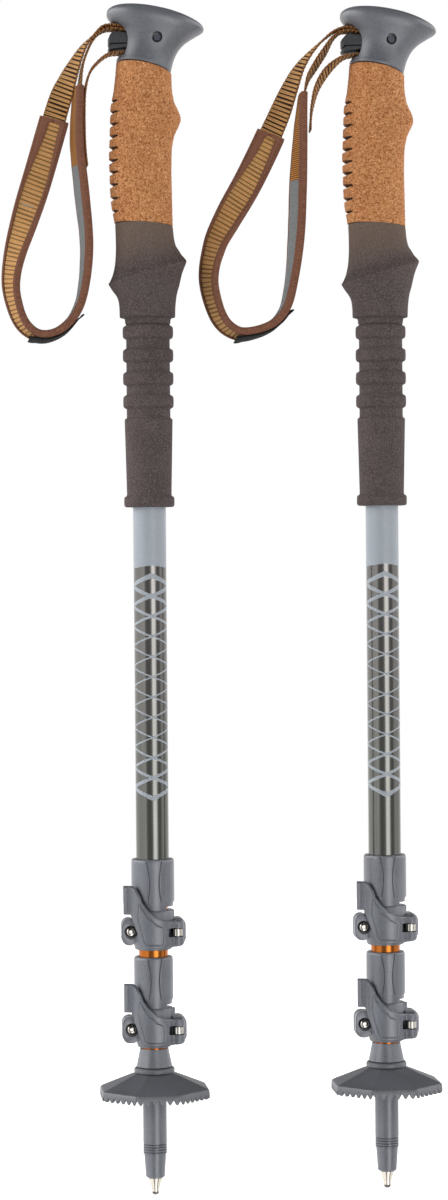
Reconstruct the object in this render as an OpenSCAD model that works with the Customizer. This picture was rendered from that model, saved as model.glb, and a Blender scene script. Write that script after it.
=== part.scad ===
// A pair of telescopic trekking poles, standing collapsed on their tips.
// Each pole: moulded head with a wedge-locked strap, cork grip, foam grip, three telescoping
// shafts with two cam-lever clamps, and a ferrule that carries a screw-on basket and a carbide tip.
// Units are millimetres. +Z is up, the straps hang towards -X, and the levers face -Y.

/* [Poles] */
// Height of a collapsed pole, from the tip to the top of the head
pole_height = 650; // [620:1:700]
// Distance between the axes of the two poles
pole_spacing = 128.5; // [125:0.5:200]
// Distance from the middle of the pair's box to the middle between the two axes
pair_shift = 22.7; // [15:0.1:30]

/* [Shafts] */
// Outer diameter of the upper shaft
upper_shaft_d = 18; // [17.6:0.1:18]
// Outer diameter of the middle shaft
middle_shaft_d = 16; // [15.8:0.1:16.2]
// Outer diameter of the lower shaft
lower_shaft_d = 14; // [13.6:0.1:14.2]
// Wall of the upper shaft
upper_wall = 0.7; // [0.5:0.05:0.75]
// Wall of the middle and lower shafts
inner_wall = 0.65; // [0.5:0.05:0.7]

/* [Grip] */
// Length of the cork grip, measured at the back of the hand
cork_length = 87.4; // [85:0.5:88]
// Length of the foam grip
foam_length = 155; // [150:0.5:160]
// Depth of the finger notches in the back of the cork
notch_depth = 3.4; // [1:0.1:4]

/* [Strap] */
// Width of the webbing
webbing_width = 13; // [12:0.1:15]
// Thickness of the webbing
webbing_thickness = 1.4; // [1:0.1:1.4]
// Width of the wrist pad
pad_width = 16.4; // [15:0.1:18]
// Thickness of the wrist pad
pad_thickness = 2.6; // [1.5:0.1:2.8]

/* [Locks] */
// Height of the upper lock's screw axis above the tip
upper_lock_z = 144.7; // [142:0.1:150]
// Height of the lower lock's screw axis above the tip
lower_lock_z = 91.2; // [91.2:0.1:93]
// Wall of the sleeve that holds the outer shaft
sleeve_wall = 2.7; // [2.2:0.1:2.8]
// Wall of the split ring that grips the inner shaft
ring_wall = 3.6; // [3.2:0.1:3.6]
// Thickness of the lever
lever_thickness = 2.8; // [2.4:0.1:3]

/* [Basket and tip] */
// Distance across the flats of the basket
basket_width = 58.2; // [50:0.2:62]
// Number of teeth on each side of the basket's rim
teeth_per_side = 6; // [5:1:12]
// Diameter of the ferrule below the basket
ferrule_d = 13; // [12:0.1:13.4]

/* [Hidden] */
left_x = -pole_spacing / 2 + pair_shift;
right_x = pole_spacing / 2 + pair_shift;
cut = 1;
running_gap = 0.05;
fixed_gap = 0.02;

grey_plastic = [0.47, 0.50, 0.54];
dark_plastic = [0.16, 0.16, 0.18];
cork_tan = [0.78, 0.56, 0.34];
foam_brown = [0.30, 0.27, 0.26];
silver_blue = [0.68, 0.72, 0.78];
copper = [0.80, 0.50, 0.22];
steel = [0.80, 0.80, 0.78];
webbing_gold = [0.66, 0.45, 0.16];
pad_brown = [0.36, 0.22, 0.18];

// ---------------------------------------------------------------- shapes used by several parts

loft_points = 36;

// One closed section of a grip: rear and front reach in X, half width in Y, and a height that
// slopes from the rear to the front, with an optional crown in between.
function section(rear, front, half_y, z_rear, z_front, squareness = 2.2, crown = 0) = [
    for (i = [0:loft_points - 1])
        let (
            a = 360 * i / loft_points,
            u = sign(cos(a)) * pow(abs(cos(a)), 2 / squareness),
            v = sign(sin(a)) * pow(abs(sin(a)), 2 / squareness)
        )
        [
            (rear + front) / 2 + u * (front - rear) / 2,
            v * half_y,
            z_rear + (z_front - z_rear) * (u + 1) / 2 + crown * (1 - u * u)
        ]
];

// Skin over sections that all have the same number of points, listed from bottom to top.
// The flipped sides are split along their other diagonal.
module loft(sections, flipped = []) {
    n = len(sections[0]);
    last = (len(sections) - 1) * n;
    side = [
        for (k = [0:len(sections) - 2], i = [0:n - 1])
            let (a = k * n + i, b = a + n, c = (k + 1) * n + (i + 1) % n, d = k * n + (i + 1) % n)
            each (len(search(i, flipped)) > 0 ? [[a, b, d], [b, c, d]] : [[a, b, c], [a, c, d]])
    ];
    caps = [
        for (i = [1:n - 2])
            each [[0, i, i + 1], [last, last + i + 1, last + i]]
    ];
    polyhedron(points = [for (s = sections) each s], faces = concat(side, caps));
}

// Smooth curve through control points, each of them a list of numbers
function spline_at(p, i, t) =
    let (
        a = p[max(i - 1, 0)],
        b = p[i],
        c = p[i + 1],
        d = p[min(i + 2, len(p) - 1)]
    )
    0.5 * (2 * b + (c - a) * t + (2 * a - 5 * b + 4 * c - d) * t * t
        + (3 * b - a - 3 * c + d) * t * t * t);

function spline(p, first, last, steps = 4) = [
    for (i = [first:last - 1], j = [0:steps - 1]) spline_at(p, i, j / steps),
    p[last]
];

function direction_at(p, i, t) =
    let (
        step = 0.01,
        d = spline_at(p, i, t + step) - spline_at(p, i, t - step)
    )
    [d[0], d[1]] / norm([d[0], d[1]]);

// Flat strip along a curve of [x, z, twist]. At twist 0 the strip's width lies along Y.
// offset moves it along its own normal, away from the inside of the loop. Both faces are split
// along the same diagonals, so that strips laid on each other stay apart where they twist. A strip
// wider than the one it carries also needs edges where that one's edges lie: carried is its width.
module strip(path, first, last, width, thickness, offset = 0, carried = 0) {
    s = spline(path, first, last);
    steps = (len(s) - 1) / (last - first);
    loft([
        for (k = [0:len(s) - 1])
            let (
                i = min(first + floor(k / steps), last - 1),
                t = direction_at(path, i, first + k / steps - i),
                out = [t[1], 0, -t[0]],
                y = [0, 1, 0],
                twist = s[k][2],
                w = cos(twist) * y + sin(twist) * out,
                n = cos(twist) * out - sin(twist) * y,
                centre = [s[k][0], 0, s[k][1]] + offset * n,
                above = centre + n * thickness / 2,
                below = centre - n * thickness / 2
            )
            concat(
                [below - w * width / 2, above - w * width / 2],
                carried > 0 ? [above - w * carried / 2, above + w * carried / 2] : [],
                [above + w * width / 2, below + w * width / 2]
            )
    ], flipped = [carried > 0 ? 5 : 3]);
}

module tube(outer_r, inner_r, z0, z1) {
    translate([0, 0, z0]) difference() {
        cylinder(r = outer_r, h = z1 - z0, $fn = 96);
        translate([0, 0, -cut]) cylinder(r = inner_r, h = z1 - z0 + 2 * cut, $fn = 96);
    }
}

module along_y(x, y0, y1, z, r) {
    translate([x, y0, z]) rotate([-90, 0, 0]) cylinder(r = r, h = y1 - y0, $fn = 48);
}

module in_handle() {
    translate([0, 0, pole_height]) children();
}

// ---------------------------------------------------------------- head
// Heights in the handle are measured down from the top of the head.

core_r = 10.5;
core_bottom = -118;
shaft_top = -38;
head_rear_z = -30.8;
head_front_z = -37.1;
pin_x = 5.4;
pin_z = -18.9;
pin_r = 1.7;
pin_half_length = 11.4;
pin_recess_r = 2.75;
cavity_width = 15.4;
upper_shaft_r = upper_shaft_d / 2;

module head_shell() {
    loft([
        section(-15.9, 13.8, 14.0, head_rear_z, head_front_z),
        section(-13.0, 15.6, 12.8, -23.5, -29.4),
        section(-13.0, 18.5, 12.5, -17.3, -23.7),
        section(-15.8, 22.6, 13.5, -11.6, -20.2),
        section(-19.2, 28.4, 15.5, -8.8, -16.2),
        section(-21.0, 31.9, 17.5, -5.5, -13.4),
        section(-20.4, 30.7, 17.0, -2.5, -10.1, crown = 0.8),
        section(-17.5, 25.6, 14.5, -0.9, -7.9, crown = 1.6),
        section(-13.5, 20.5, 11.0, 0.0, -6.4, crown = 1.0),
        section(-6.0, 12.0, 5.5, -0.3, -4.1, crown = 0.5)
    ]);
}

// Slot for the webbing and its wedge, open at the rear
module strap_cavity() {
    rotate([90, 0, 0])
        translate([0, 0, -cavity_width / 2])
            linear_extrude(cavity_width)
                polygon([[-26, -29.0], [-15.9, -28.1], [9, -23.0], [10.2, -19], [9, -14.5], [-26, -8.6]]);
}

module head_cap() {
    color(grey_plastic) in_handle() difference() {
        union() {
            head_shell();
            translate([0, 0, core_bottom])
                cylinder(r = core_r, h = head_rear_z - core_bottom + 3, $fn = 96);
        }
        translate([0, 0, core_bottom - cut])
            cylinder(r = upper_shaft_r + fixed_gap, h = shaft_top - core_bottom + cut, $fn = 96);
        strap_cavity();
        along_y(pin_x, -20, 20, pin_z, pin_r + fixed_gap);
        along_y(pin_x, -20, -pin_half_length, pin_z, pin_recess_r);
        along_y(pin_x, pin_half_length, 20, pin_z, pin_recess_r);
    }
}

module strap_pin() {
    color(steel) in_handle() along_y(pin_x, -pin_half_length, pin_half_length, pin_z, pin_r);
}

// Locks the webbing in the head; it slides out of the mouth towards the rear to free it
module strap_wedge() {
    width = cavity_width - 0.8;
    color(dark_plastic) in_handle() rotate([90, 0, 0])
        translate([0, 0, -width / 2])
            linear_extrude(width)
                polygon([[-20, -24.2], [-19, -24.6], [-1, -21.9], [-1, -17.0], [-17.6, -15.6],
                    [-19.4, -16.4], [-20, -18]]);
}

// ---------------------------------------------------------------- grips

cork_bottom = head_rear_z - 0.1 - cork_length;
foam_top = cork_bottom - 0.1;
foam_bottom = foam_top - foam_length;
notch_pitch = 6.6;
notch_count = 10;
notch_half_height = 1.5;
notch_first = -112.6;

// Rear and front profiles of the cork as [height, reach]
cork_rear = [[-119, -17.4], [-114, -18.5], [-108, -19.5], [-101, -19.9], [-82, -20.4], [-75, -20.0],
    [-55, -19.2], [-50, -18.2], [-46, -17.4], [-30, -15.8]];
cork_front = [[-119, 14.1], [-90, 13.6], [-78, 14.0], [-70.6, 15.2], [-64.6, 18.4], [-61.7, 19.2],
    [-58, 17.9], [-52.6, 15.3], [-45.5, 14.2], [-30, 14.0]];

function notch_at(z) =
    let (k = min(max(round((z - notch_first) / notch_pitch), 0), notch_count - 1))
    max(0, 1 - abs(z - notch_first - k * notch_pitch) / notch_half_height);

// Section of the cork at a height. The notches fade out towards the front.
function cork_section(z) =
    let (plain = section(lookup(z, cork_rear), lookup(z, cork_front), 14.3, z, z, 2.1))
    [
        for (p = plain)
            let (
                back = min(max((-p[0] - 5) / 9, 0), 1),
                shrink = 1 - back * notch_depth / 20 * notch_at(z)
            )
            [p[0] * shrink, p[1] * shrink, z]
    ];

module cork_grip() {
    notch_zs = [
        for (k = [0:notch_count - 1], e = [-1, 0, 1]) notch_first + k * notch_pitch + e * notch_half_height
    ];
    plain_zs = [cork_bottom, cork_bottom + 2.5];
    top_zs = [-49];
    color(cork_tan) in_handle() difference() {
        loft([
            for (z = concat(plain_zs, notch_zs, top_zs)) cork_section(z),
            section(-16.9, 14.1, 14.3, -40, -43.0, 2.1),
            section(-15.9, 13.8, 14.1, head_rear_z - 0.1, head_front_z - 0.1, 2.1)
        ]);
        translate([0, 0, cork_bottom - cut])
            cylinder(r = core_r + running_gap, h = cork_length + 2 * cut, $fn = 96);
    }
}

rib_pitch = 12.65;
rib_count = 4;
rib_height = 7.2;
rib_r = 13.8;
rib_neck_r = 11.75;
barrel_top_r = 13.1;
barrel_bottom_r = 12.1;
lip_r = 13.7;
lip_height = 5.9;
ribs_bottom = foam_top - 101.2;
barrel_top = foam_top - 107.2;

module foam_ribs() {
    for (k = [0:rib_count - 1])
        translate([0, 0, ribs_bottom + k * rib_pitch]) {
            cylinder(r1 = rib_neck_r, r2 = rib_r, h = 1, $fn = 96);
            translate([0, 0, 1]) cylinder(r = rib_r, h = rib_height - 2, $fn = 96);
            translate([0, 0, rib_height - 1]) cylinder(r1 = rib_r, r2 = rib_neck_r, h = 1, $fn = 96);
        }
}

module foam_grip() {
    color(foam_brown) in_handle() difference() {
        union() {
            loft([
                section(-12.6, 12.6, 12.6, foam_top - 55.8, foam_top - 55.8, 2),
                section(-12.6, 12.6, 12.6, foam_top - 53, foam_top - 53, 2),
                section(-15.3, 15.0, 14.8, foam_top - 50.7, foam_top - 50.7),
                section(-15.9, 16.0, 15.2, foam_top - 42.3, foam_top - 39.1),
                section(-18.3, 18.8, 16.4, foam_top - 37.4, foam_top - 29.9),
                section(-21.2, 21.5, 17.5, foam_top - 33.2, foam_top - 20.9),
                section(-17.6, 17.4, 15.6, foam_top - 23.6, foam_top - 15.9),
                section(-17.1, 15.2, 14.6, foam_top - 13.4, foam_top - 10.2),
                section(-17.4, 14.1, 14.3, foam_top, foam_top)
            ]);
            translate([0, 0, foam_bottom])
                cylinder(r = lip_r, h = lip_height, $fn = 96);
            translate([0, 0, foam_bottom + lip_height - 0.01])
                cylinder(r1 = barrel_bottom_r, r2 = barrel_top_r, h = barrel_top - foam_bottom - lip_height,
                    $fn = 96);
            translate([0, 0, barrel_top - 1])
                cylinder(r = rib_neck_r, h = foam_top - 54 - barrel_top + 1, $fn = 96);
            foam_ribs();
        }
        translate([0, 0, foam_bottom - cut])
            cylinder(r = upper_shaft_r + running_gap, h = foam_length + 2 * cut, $fn = 96);
    }
}

// ---------------------------------------------------------------- strap

// The webbing leaves the tail, runs into the head, round the pin, back out of the mouth, round the
// wrist loop, and in again above the wedge. Points are [x, z, twist].
function pin_wrap() = [
    for (a = [-90:45:90]) [pin_x + wrap_r * cos(a), pin_z + wrap_r * sin(a), 0]
];
wrap_r = pin_r + webbing_thickness / 2 + 0.2;

left_path = concat(
    [[-32.6, -88.2, 0], [-33.6, -76, 0], [-33.8, -60, 0], [-33.2, -47, 0], [-30.8, -37.4, 0],
        [-26.5, -31.4, 0], [-20, -26.7, 0], [-12, -25.9, 0], [-2, -24.3, 0]],
    pin_wrap(),
    [[-2, -13.6, 0], [-12, -12.2, 0], [-18, -11.2, 0], [-23.5, -12.0, 0], [-28.4, -16.4, 0],
        [-33.8, -22.6, 14], [-38.4, -31, 28], [-42.4, -40, 46], [-47.9, -54.8, 72], [-58.4, -90.5, 84],
        [-67, -117, 52], [-73.3, -138, 25], [-74.9, -154, 8], [-70.7, -170.4, 5], [-64, -178.4, 4],
        [-56, -180.6, 2], [-46, -176.6, 0], [-38.2, -167, -2], [-34.2, -153, -4], [-32.4, -131, -8],
        [-34.6, -104, -14], [-37.2, -76, -12], [-36.6, -52, -8], [-35.4, -38, -3], [-33.4, -29.4, 0],
        [-29.2, -19.6, 0], [-24.6, -14.6, 0], [-18, -13.0, 0], [-4, -15.2, 0]]
);
right_path = concat(
    [[-38.2, -68, 4], [-37.2, -56, 10], [-34.4, -44.5, 16], [-29.2, -35.6, 18], [-23, -29.6, 10],
        [-18, -26.9, 2], [-12, -25.9, 0], [-7, -25.2, 0], [-2, -24.3, 0]],
    pin_wrap(),
    [[-2, -13.6, 0], [-12, -12.2, 0], [-18, -11.2, 0], [-23.5, -12.6, 0], [-29, -16.4, 0],
        [-37, -24, 8], [-44, -33.2, 22], [-50, -46, 42], [-57, -63, 64], [-71, -92.4, 82],
        [-84.6, -116, 54], [-92, -131, 28], [-95.4, -150, 10], [-90, -170, 6], [-80.6, -178.8, 4],
        [-70, -178.6, 2], [-59, -173.8, 0], [-52, -164.6, -2], [-48.4, -149, -8], [-45.8, -126, -16],
        [-44.6, -100, -18], [-43.4, -76, -12], [-41.8, -54, 0], [-39.8, -41, 10], [-36, -33.6, 16],
        [-30, -24.4, 16], [-24.4, -16, 6], [-18, -13.0, 0], [-4, -15.2, 0]]
);
path_last = len(left_path) - 1;
pad_first = 22;
pad_last = 36;
patch_first = 27;
patch_last = 31;
patch_thickness = 0.9;
layer_gap = 0.25;
// Height at which the strap's fixed root ends and its turning loop begins
strap_split_z = -36.5;
strap_split_gap = 1;

module strap_webbing(path, z_low, z_high) {
    color(webbing_gold) in_handle() intersection() {
        strip(path, 0, path_last, webbing_width, webbing_thickness);
        translate([-120, -20, z_low]) cube([140, 40, z_high - z_low]);
    }
}

module strap_webbing_root(path) {
    strap_webbing(path, strap_split_z + strap_split_gap / 2, 0);
}

module strap_webbing_loop(path) {
    strap_webbing(path, -200, strap_split_z - strap_split_gap / 2);
}

module strap_pad(path) {
    color(pad_brown) in_handle()
        strip(path, pad_first, pad_last, pad_width, pad_thickness,
            -webbing_thickness / 2 - layer_gap - pad_thickness / 2, webbing_width);
}

module strap_patch(path) {
    color(dark_plastic) in_handle()
        strip(path, patch_first, patch_last, webbing_width, patch_thickness,
            webbing_thickness / 2 + layer_gap + patch_thickness / 2);
}

// ---------------------------------------------------------------- shafts

middle_shaft_r = middle_shaft_d / 2;
lower_shaft_r = lower_shaft_d / 2;
shoulder_z = 14;
shaft_seat = 0.05;
upper_shaft_bottom = upper_lock_z + shoulder_z + shaft_seat;
middle_shaft_bottom = lower_lock_z + shoulder_z + shaft_seat;
lower_shaft_bottom = 62;
middle_shaft_top = pole_height - 86.2;
lower_shaft_top = pole_height - 130;
bush_plug_length = 12;
bush_head_length = 5;

module upper_shaft() {
    color(silver_blue)
        tube(upper_shaft_r, upper_shaft_r - upper_wall, upper_shaft_bottom, pole_height + shaft_top - 0.1);
}

module middle_shaft() {
    color(copper) tube(middle_shaft_r, middle_shaft_r - inner_wall, middle_shaft_bottom, middle_shaft_top);
}

module lower_shaft() {
    color(copper) tube(lower_shaft_r, lower_shaft_r - inner_wall, lower_shaft_bottom, lower_shaft_top);
}

// Plug in the top of an inner shaft, whose head glides inside the shaft around it
module guide_bush(shaft_r, outer_bore_r, top) {
    plug_r = shaft_r - inner_wall - fixed_gap;
    color(dark_plastic) difference() {
        union() {
            translate([0, 0, top - bush_plug_length]) cylinder(r = plug_r, h = bush_plug_length, $fn = 96);
            translate([0, 0, top + fixed_gap])
                cylinder(r = outer_bore_r - running_gap, h = bush_head_length, $fn = 96);
            translate([0, 0, top - cut]) cylinder(r = plug_r, h = 2 * cut, $fn = 96);
        }
        translate([0, 0, top - bush_plug_length - cut])
            cylinder(r = plug_r - 1.8, h = bush_plug_length + bush_head_length + 3 * cut, $fn = 96);
    }
}

module middle_guide_bush() {
    guide_bush(middle_shaft_r, upper_shaft_r - upper_wall, middle_shaft_top);
}

module lower_guide_bush() {
    guide_bush(lower_shaft_r, middle_shaft_r - inner_wall, lower_shaft_top);
}

// ---------------------------------------------------------------- locks
// Heights in a lock are measured from its screws. Each lock holds an outer shaft in its sleeve and
// grips an inner shaft in its split ring.

ear_x = 12.6;
ear_inner = 8;
ear_outer = 17.5;
ear_half_y = 5;
ear_half_z = 7.3;
ear_corner = 3.6;
ring_bottom = -10;
ring_top = 11.6;
sleeve_bottom = 13.8;
sleeve_top = 39.7;
relief_x = 6.5;
split_width = 1.2;
screw_r = 2;
screw_hole_r = 2.05;
screw_head_r = 3.2;
screw_head_height = 2;
counterbore_r = 3.6;
counterbore_depth = 2.2;
nut_across_flats = 7;
nut_height = 3.2;
nut_seat_r = nut_across_flats / 2 / cos(30) + 0.2;
screw_end_y = 8.9;
cam_pin_y = -9.05;
cam_pin_r = 1.55;
cam_offset = 0.4;
cam_r = 3.6;
eye_r = 2.7;
eye_height = 3.6;
fork_slot = 4.8;
cam_sweep_r = cam_r + cam_offset + 0.04;

module ear(side) {
    hull() for (x = [ear_inner + ear_corner, ear_outer - ear_corner], z = [-1, 1])
        along_y(side * x, -ear_half_y, ear_half_y, z * (ear_half_z - ear_corner), ear_corner, $fn = 32);
}

module clamp_outline(outer_r, inner_r) {
    ring_r = inner_r + ring_wall;
    sleeve_r = outer_r + sleeve_wall;
    rotate_extrude($fn = 96) polygon([
        [0, ring_bottom], [inner_r + 1.6, ring_bottom], [ring_r - 1, ring_bottom + 2.6],
        [ring_r, ring_bottom + 4.6], [ring_r, ring_top], [sleeve_r - 0.7, ring_top + 0.4],
        [sleeve_r - 0.7, sleeve_bottom + 1.5], [sleeve_r, sleeve_bottom + 4], [sleeve_r, sleeve_top - 0.8],
        [sleeve_r - 0.8, sleeve_top], [0, sleeve_top]
    ]);
    ear(-1);
    ear(1);
    translate([9.3, -3, 7]) cylinder(r = 2.1, h = 5, $fn = 32);
}

module clamp(outer_r, inner_r) {
    color(grey_plastic) difference() {
        clamp_outline(outer_r, inner_r);
        translate([0, 0, ring_bottom - cut])
            cylinder(r = inner_r + running_gap, h = shoulder_z - ring_bottom + 2 * cut, $fn = 96);
        translate([0, 0, shoulder_z])
            cylinder(r = outer_r + fixed_gap, h = sleeve_top - shoulder_z + cut, $fn = 96);
        for (side = [-1, 1]) {
            translate([side * (relief_x + 10) - 10, -20, ring_top])
                cube([20, 40, sleeve_bottom - ring_top]);
            translate([side * (inner_r + 6) - 6, -split_width / 2, ring_bottom - cut])
                cube([12, split_width, ring_top - ring_bottom + 2 * cut]);
            along_y(side * ear_x, -20, 20, 0, screw_hole_r);
            along_y(side * ear_x, ear_half_y, 20, 0, nut_seat_r);
        }
        along_y(-ear_x, -20, -ear_half_y + counterbore_depth, 0, counterbore_r);
        translate([ear_x, cam_pin_y, -ear_half_z - cut])
            cylinder(r = cam_sweep_r, h = 2 * (ear_half_z + cut), $fn = 64);
    }
}

module tension_screw() {
    head_y = -ear_half_y + counterbore_depth - screw_head_height;
    color(steel) difference() {
        union() {
            along_y(-ear_x, head_y, head_y + screw_head_height - fixed_gap, 0, screw_head_r);
            along_y(-ear_x, head_y + cut, screw_end_y, 0, screw_r);
        }
        translate([-ear_x, head_y - cut, 0]) rotate([-90, 0, 0]) cylinder(r = 1.6, h = cut + 1.2, $fn = 6);
    }
}

module cam_bolt() {
    color(steel) difference() {
        union() {
            translate([ear_x, cam_pin_y, -eye_height / 2]) cylinder(r = eye_r, h = eye_height, $fn = 48);
            along_y(ear_x, cam_pin_y + 2, screw_end_y, 0, screw_r);
        }
        translate([ear_x, cam_pin_y, -eye_height])
            cylinder(r = cam_pin_r + running_gap, h = 2 * eye_height, $fn = 48);
    }
}

module cam_pin() {
    color(steel) translate([ear_x, cam_pin_y, -6.2]) cylinder(r = cam_pin_r, h = 12.4, $fn = 48);
}

module clamp_nuts() {
    color(steel) for (side = [-1, 1])
        translate([side * ear_x, ear_half_y + fixed_gap, 0]) rotate([-90, 0, 0]) difference() {
            cylinder(r = nut_across_flats / 2 / cos(30), h = nut_height, $fn = 6);
            translate([0, 0, -cut]) cylinder(r = screw_r + 0.03, h = nut_height + 2 * cut, $fn = 48);
        }
}

// Front view of the lever: a flag for the thumb at the upper left sweeps down into the cam
lever_front = [
    [-16.5, 9.8], [-16.5, 25.5], [-12.2, 25.5], [-10.2, 24.1], [-8.2, 20.6], [-7, 17], [-4.6, 13.4],
    [-0.6, 9.4], [4.3, 6.8], [9.1, 6], [13.1, 6.6], [16.4, 6.6], [16.4, -7.1], [14.7, -7.1],
    [8.3, -8.3], [-3, -8.3], [-6.2, -6.3], [-8.2, -2.2], [-10.2, 4.2], [-11.8, 8.6]
];
lever_from = -145;
lever_to = -35;
flag_length = 7.5;
flag_turn = 155;

module lever_plan(band_r, height) {
    outer = band_r + lever_thickness;
    difference() {
        intersection() {
            cylinder(r = outer, h = height, $fn = 96);
            linear_extrude(height) polygon([
                [0, 0], 30 * [cos(lever_from), sin(lever_from)], 40 * [cos(-110), sin(-110)],
                40 * [cos(-70), sin(-70)], 30 * [cos(lever_to), sin(lever_to)]
            ]);
        }
        translate([0, 0, -cut]) cylinder(r = band_r, h = height + 2 * cut, $fn = 96);
    }
    translate([band_r * cos(lever_from), band_r * sin(lever_from), 0])
        rotate(flag_turn) translate([-0.6, 0.25, 0])
            cube([flag_length, lever_thickness - 0.3, height]);
}

module lever(inner_r) {
    band_r = inner_r + ring_wall + 0.4;
    bottom = -12;
    height = 40;
    color(grey_plastic) difference() {
        intersection() {
            translate([0, 0, bottom]) union() {
                lever_plan(band_r, height);
                translate([ear_x, cam_pin_y + cam_offset, 0]) cylinder(r = cam_r, h = height, $fn = 64);
            }
            rotate([90, 0, 0]) linear_extrude(60) polygon(lever_front);
        }
        translate([7.5, cam_pin_y - 8, -fork_slot / 2]) cube([12, 16, fork_slot]);
        translate([ear_x, cam_pin_y, -20]) cylinder(r = cam_pin_r + 0.01, h = 40, $fn = 48);
    }
}

module at_upper_lock() {
    translate([0, 0, upper_lock_z]) children();
}

module at_lower_lock() {
    translate([0, 0, lower_lock_z]) children();
}

// ---------------------------------------------------------------- ferrule, basket and tip

ferrule_r = ferrule_d / 2;
cone_top = 80.4;
cone_bottom = 70.6;
boss_r = 8.4;
boss_bottom = 58;
groove_top = 28.4;
groove_pitch = 1.4;
groove_count = 4;
taper_top = 22.9;
taper_bottom = 10;
ferrule_bottom = 9.2;
holder_r = 4.05;
spigot_r = 2.6;
spigot_top = 24;
carbide_r = 1.85;
carbide_shank_r = 1.2;
carbide_shank_top = 7;
collar_r = 11;
collar_top = 70.2;
collar_bottom = 62;
rim_z = 58.5;
skirt_height = 2.4;
tooth_height = 2.6;
shell = 2;

module ferrule() {
    grooves = [
        for (k = [0:groove_count - 1])
            let (z = groove_top - k * groove_pitch)
            each [[ferrule_r, z], [ferrule_r - 0.5, z - 0.2], [ferrule_r - 0.5, z - 0.6],
                [ferrule_r, z - 0.8]]
    ];
    color(grey_plastic) difference() {
        rotate_extrude($fn = 96) polygon(concat(
            [[0, cone_top], [lower_shaft_r + 0.8, cone_top], [9.8, cone_bottom], [9.6, cone_bottom - 0.2],
                [boss_r, cone_bottom - 0.2], [boss_r, boss_bottom + 1.2], [boss_r - 1.2, boss_bottom],
                [ferrule_r, boss_bottom]],
            grooves,
            [[ferrule_r, taper_top], [ferrule_r - 0.45, taper_top - 0.2], [5.2, taper_bottom],
                [holder_r, ferrule_bottom], [0, ferrule_bottom]]
        ));
        translate([0, 0, lower_shaft_bottom - fixed_gap])
            cylinder(r = lower_shaft_r + fixed_gap, h = 30, $fn = 96);
        translate([0, 0, ferrule_bottom - cut])
            cylinder(r = spigot_r + fixed_gap, h = spigot_top - ferrule_bottom + 0.1 + cut, $fn = 64);
    }
}

module tip_holder() {
    bottom = 1.8;
    flare = [
        for (t = [0:0.125:1])
            [2 + (holder_r - 2) * pow(t, 1.4), bottom + (ferrule_bottom - 0.05 - bottom) * t]
    ];
    color(steel) difference() {
        rotate_extrude($fn = 96) polygon(concat(
            [[0, bottom]],
            flare,
            [[spigot_r, ferrule_bottom - 0.05], [spigot_r, spigot_top], [0, spigot_top]]
        ));
        translate([0, 0, bottom - cut])
            cylinder(r = carbide_shank_r + fixed_gap, h = carbide_shank_top - bottom + 0.1 + cut, $fn = 48);
    }
}

// Scalloped point that bites into rock
module carbide_tip() {
    color(steel) union() {
        cylinder(r1 = 1.2, r2 = carbide_r, h = 0.7, $fn = 48);
        translate([0, 0, 0.7]) cylinder(r = carbide_r, h = 1.08, $fn = 48);
        translate([0, 0, 1]) cylinder(r = carbide_shank_r, h = carbide_shank_top - 1, $fn = 48);
    }
}

// Eight-sided frustum with a flat side to the front
module octagon_frustum(low, high, z0, z1) {
    translate([0, 0, z0]) rotate(22.5)
        cylinder(r1 = low / cos(22.5), r2 = high / cos(22.5), h = z1 - z0, $fn = 8);
}

// One side of the rim, with a row of teeth along its lower edge
module rim_side(apothem) {
    half = apothem * tan(22.5);
    pitch = 2 * half / teeth_per_side;
    teeth = [
        for (k = [0:teeth_per_side - 1])
            each [
                [-half + k * pitch, -skirt_height],
                [-half + (k + 0.5) * pitch, -skirt_height - tooth_height]
            ]
    ];
    translate([apothem - shell, 0, rim_z]) rotate([90, 0, 90])
        linear_extrude(shell) polygon(concat([[-half, 0.4]], teeth, [[half, -skirt_height], [half, 0.4]]));
}

module basket() {
    apothem = basket_width / 2;
    color(grey_plastic) difference() {
        union() {
            difference() {
                octagon_frustum(apothem, collar_r - 1, rim_z, 67.4);
                octagon_frustum(apothem - shell, collar_r - 3, rim_z - 0.2, 65.2);
            }
            translate([0, 0, collar_bottom]) cylinder(r = collar_r, h = collar_top - collar_bottom, $fn = 96);
            for (k = [0:7]) rotate(45 * k) rim_side(apothem);
        }
        translate([0, 0, collar_bottom - cut])
            cylinder(r = boss_r + running_gap, h = collar_top - collar_bottom + 2 * cut, $fn = 96);
    }
}

// ---------------------------------------------------------------- assembly

PIECES = [
    "head_cap", "strap_wedge", "strap_pin", "cork_grip", "foam_grip", "upper_shaft", "middle_shaft",
    "lower_shaft", "middle_guide_bush", "lower_guide_bush", "ferrule", "tip_holder", "carbide_tip",
    "basket", "strap_webbing_root", "strap_webbing_loop", "strap_pad", "strap_patch", "upper_clamp",
    "upper_lever", "upper_cam_pin", "upper_cam_bolt", "upper_tension_screw", "upper_nuts",
    "lower_clamp", "lower_lever", "lower_cam_pin", "lower_cam_bolt", "lower_tension_screw", "lower_nuts"
];

module left() {
    translate([left_x, 0, 0]) children();
}

module right() {
    translate([right_x, 0, 0]) children();
}

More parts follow.
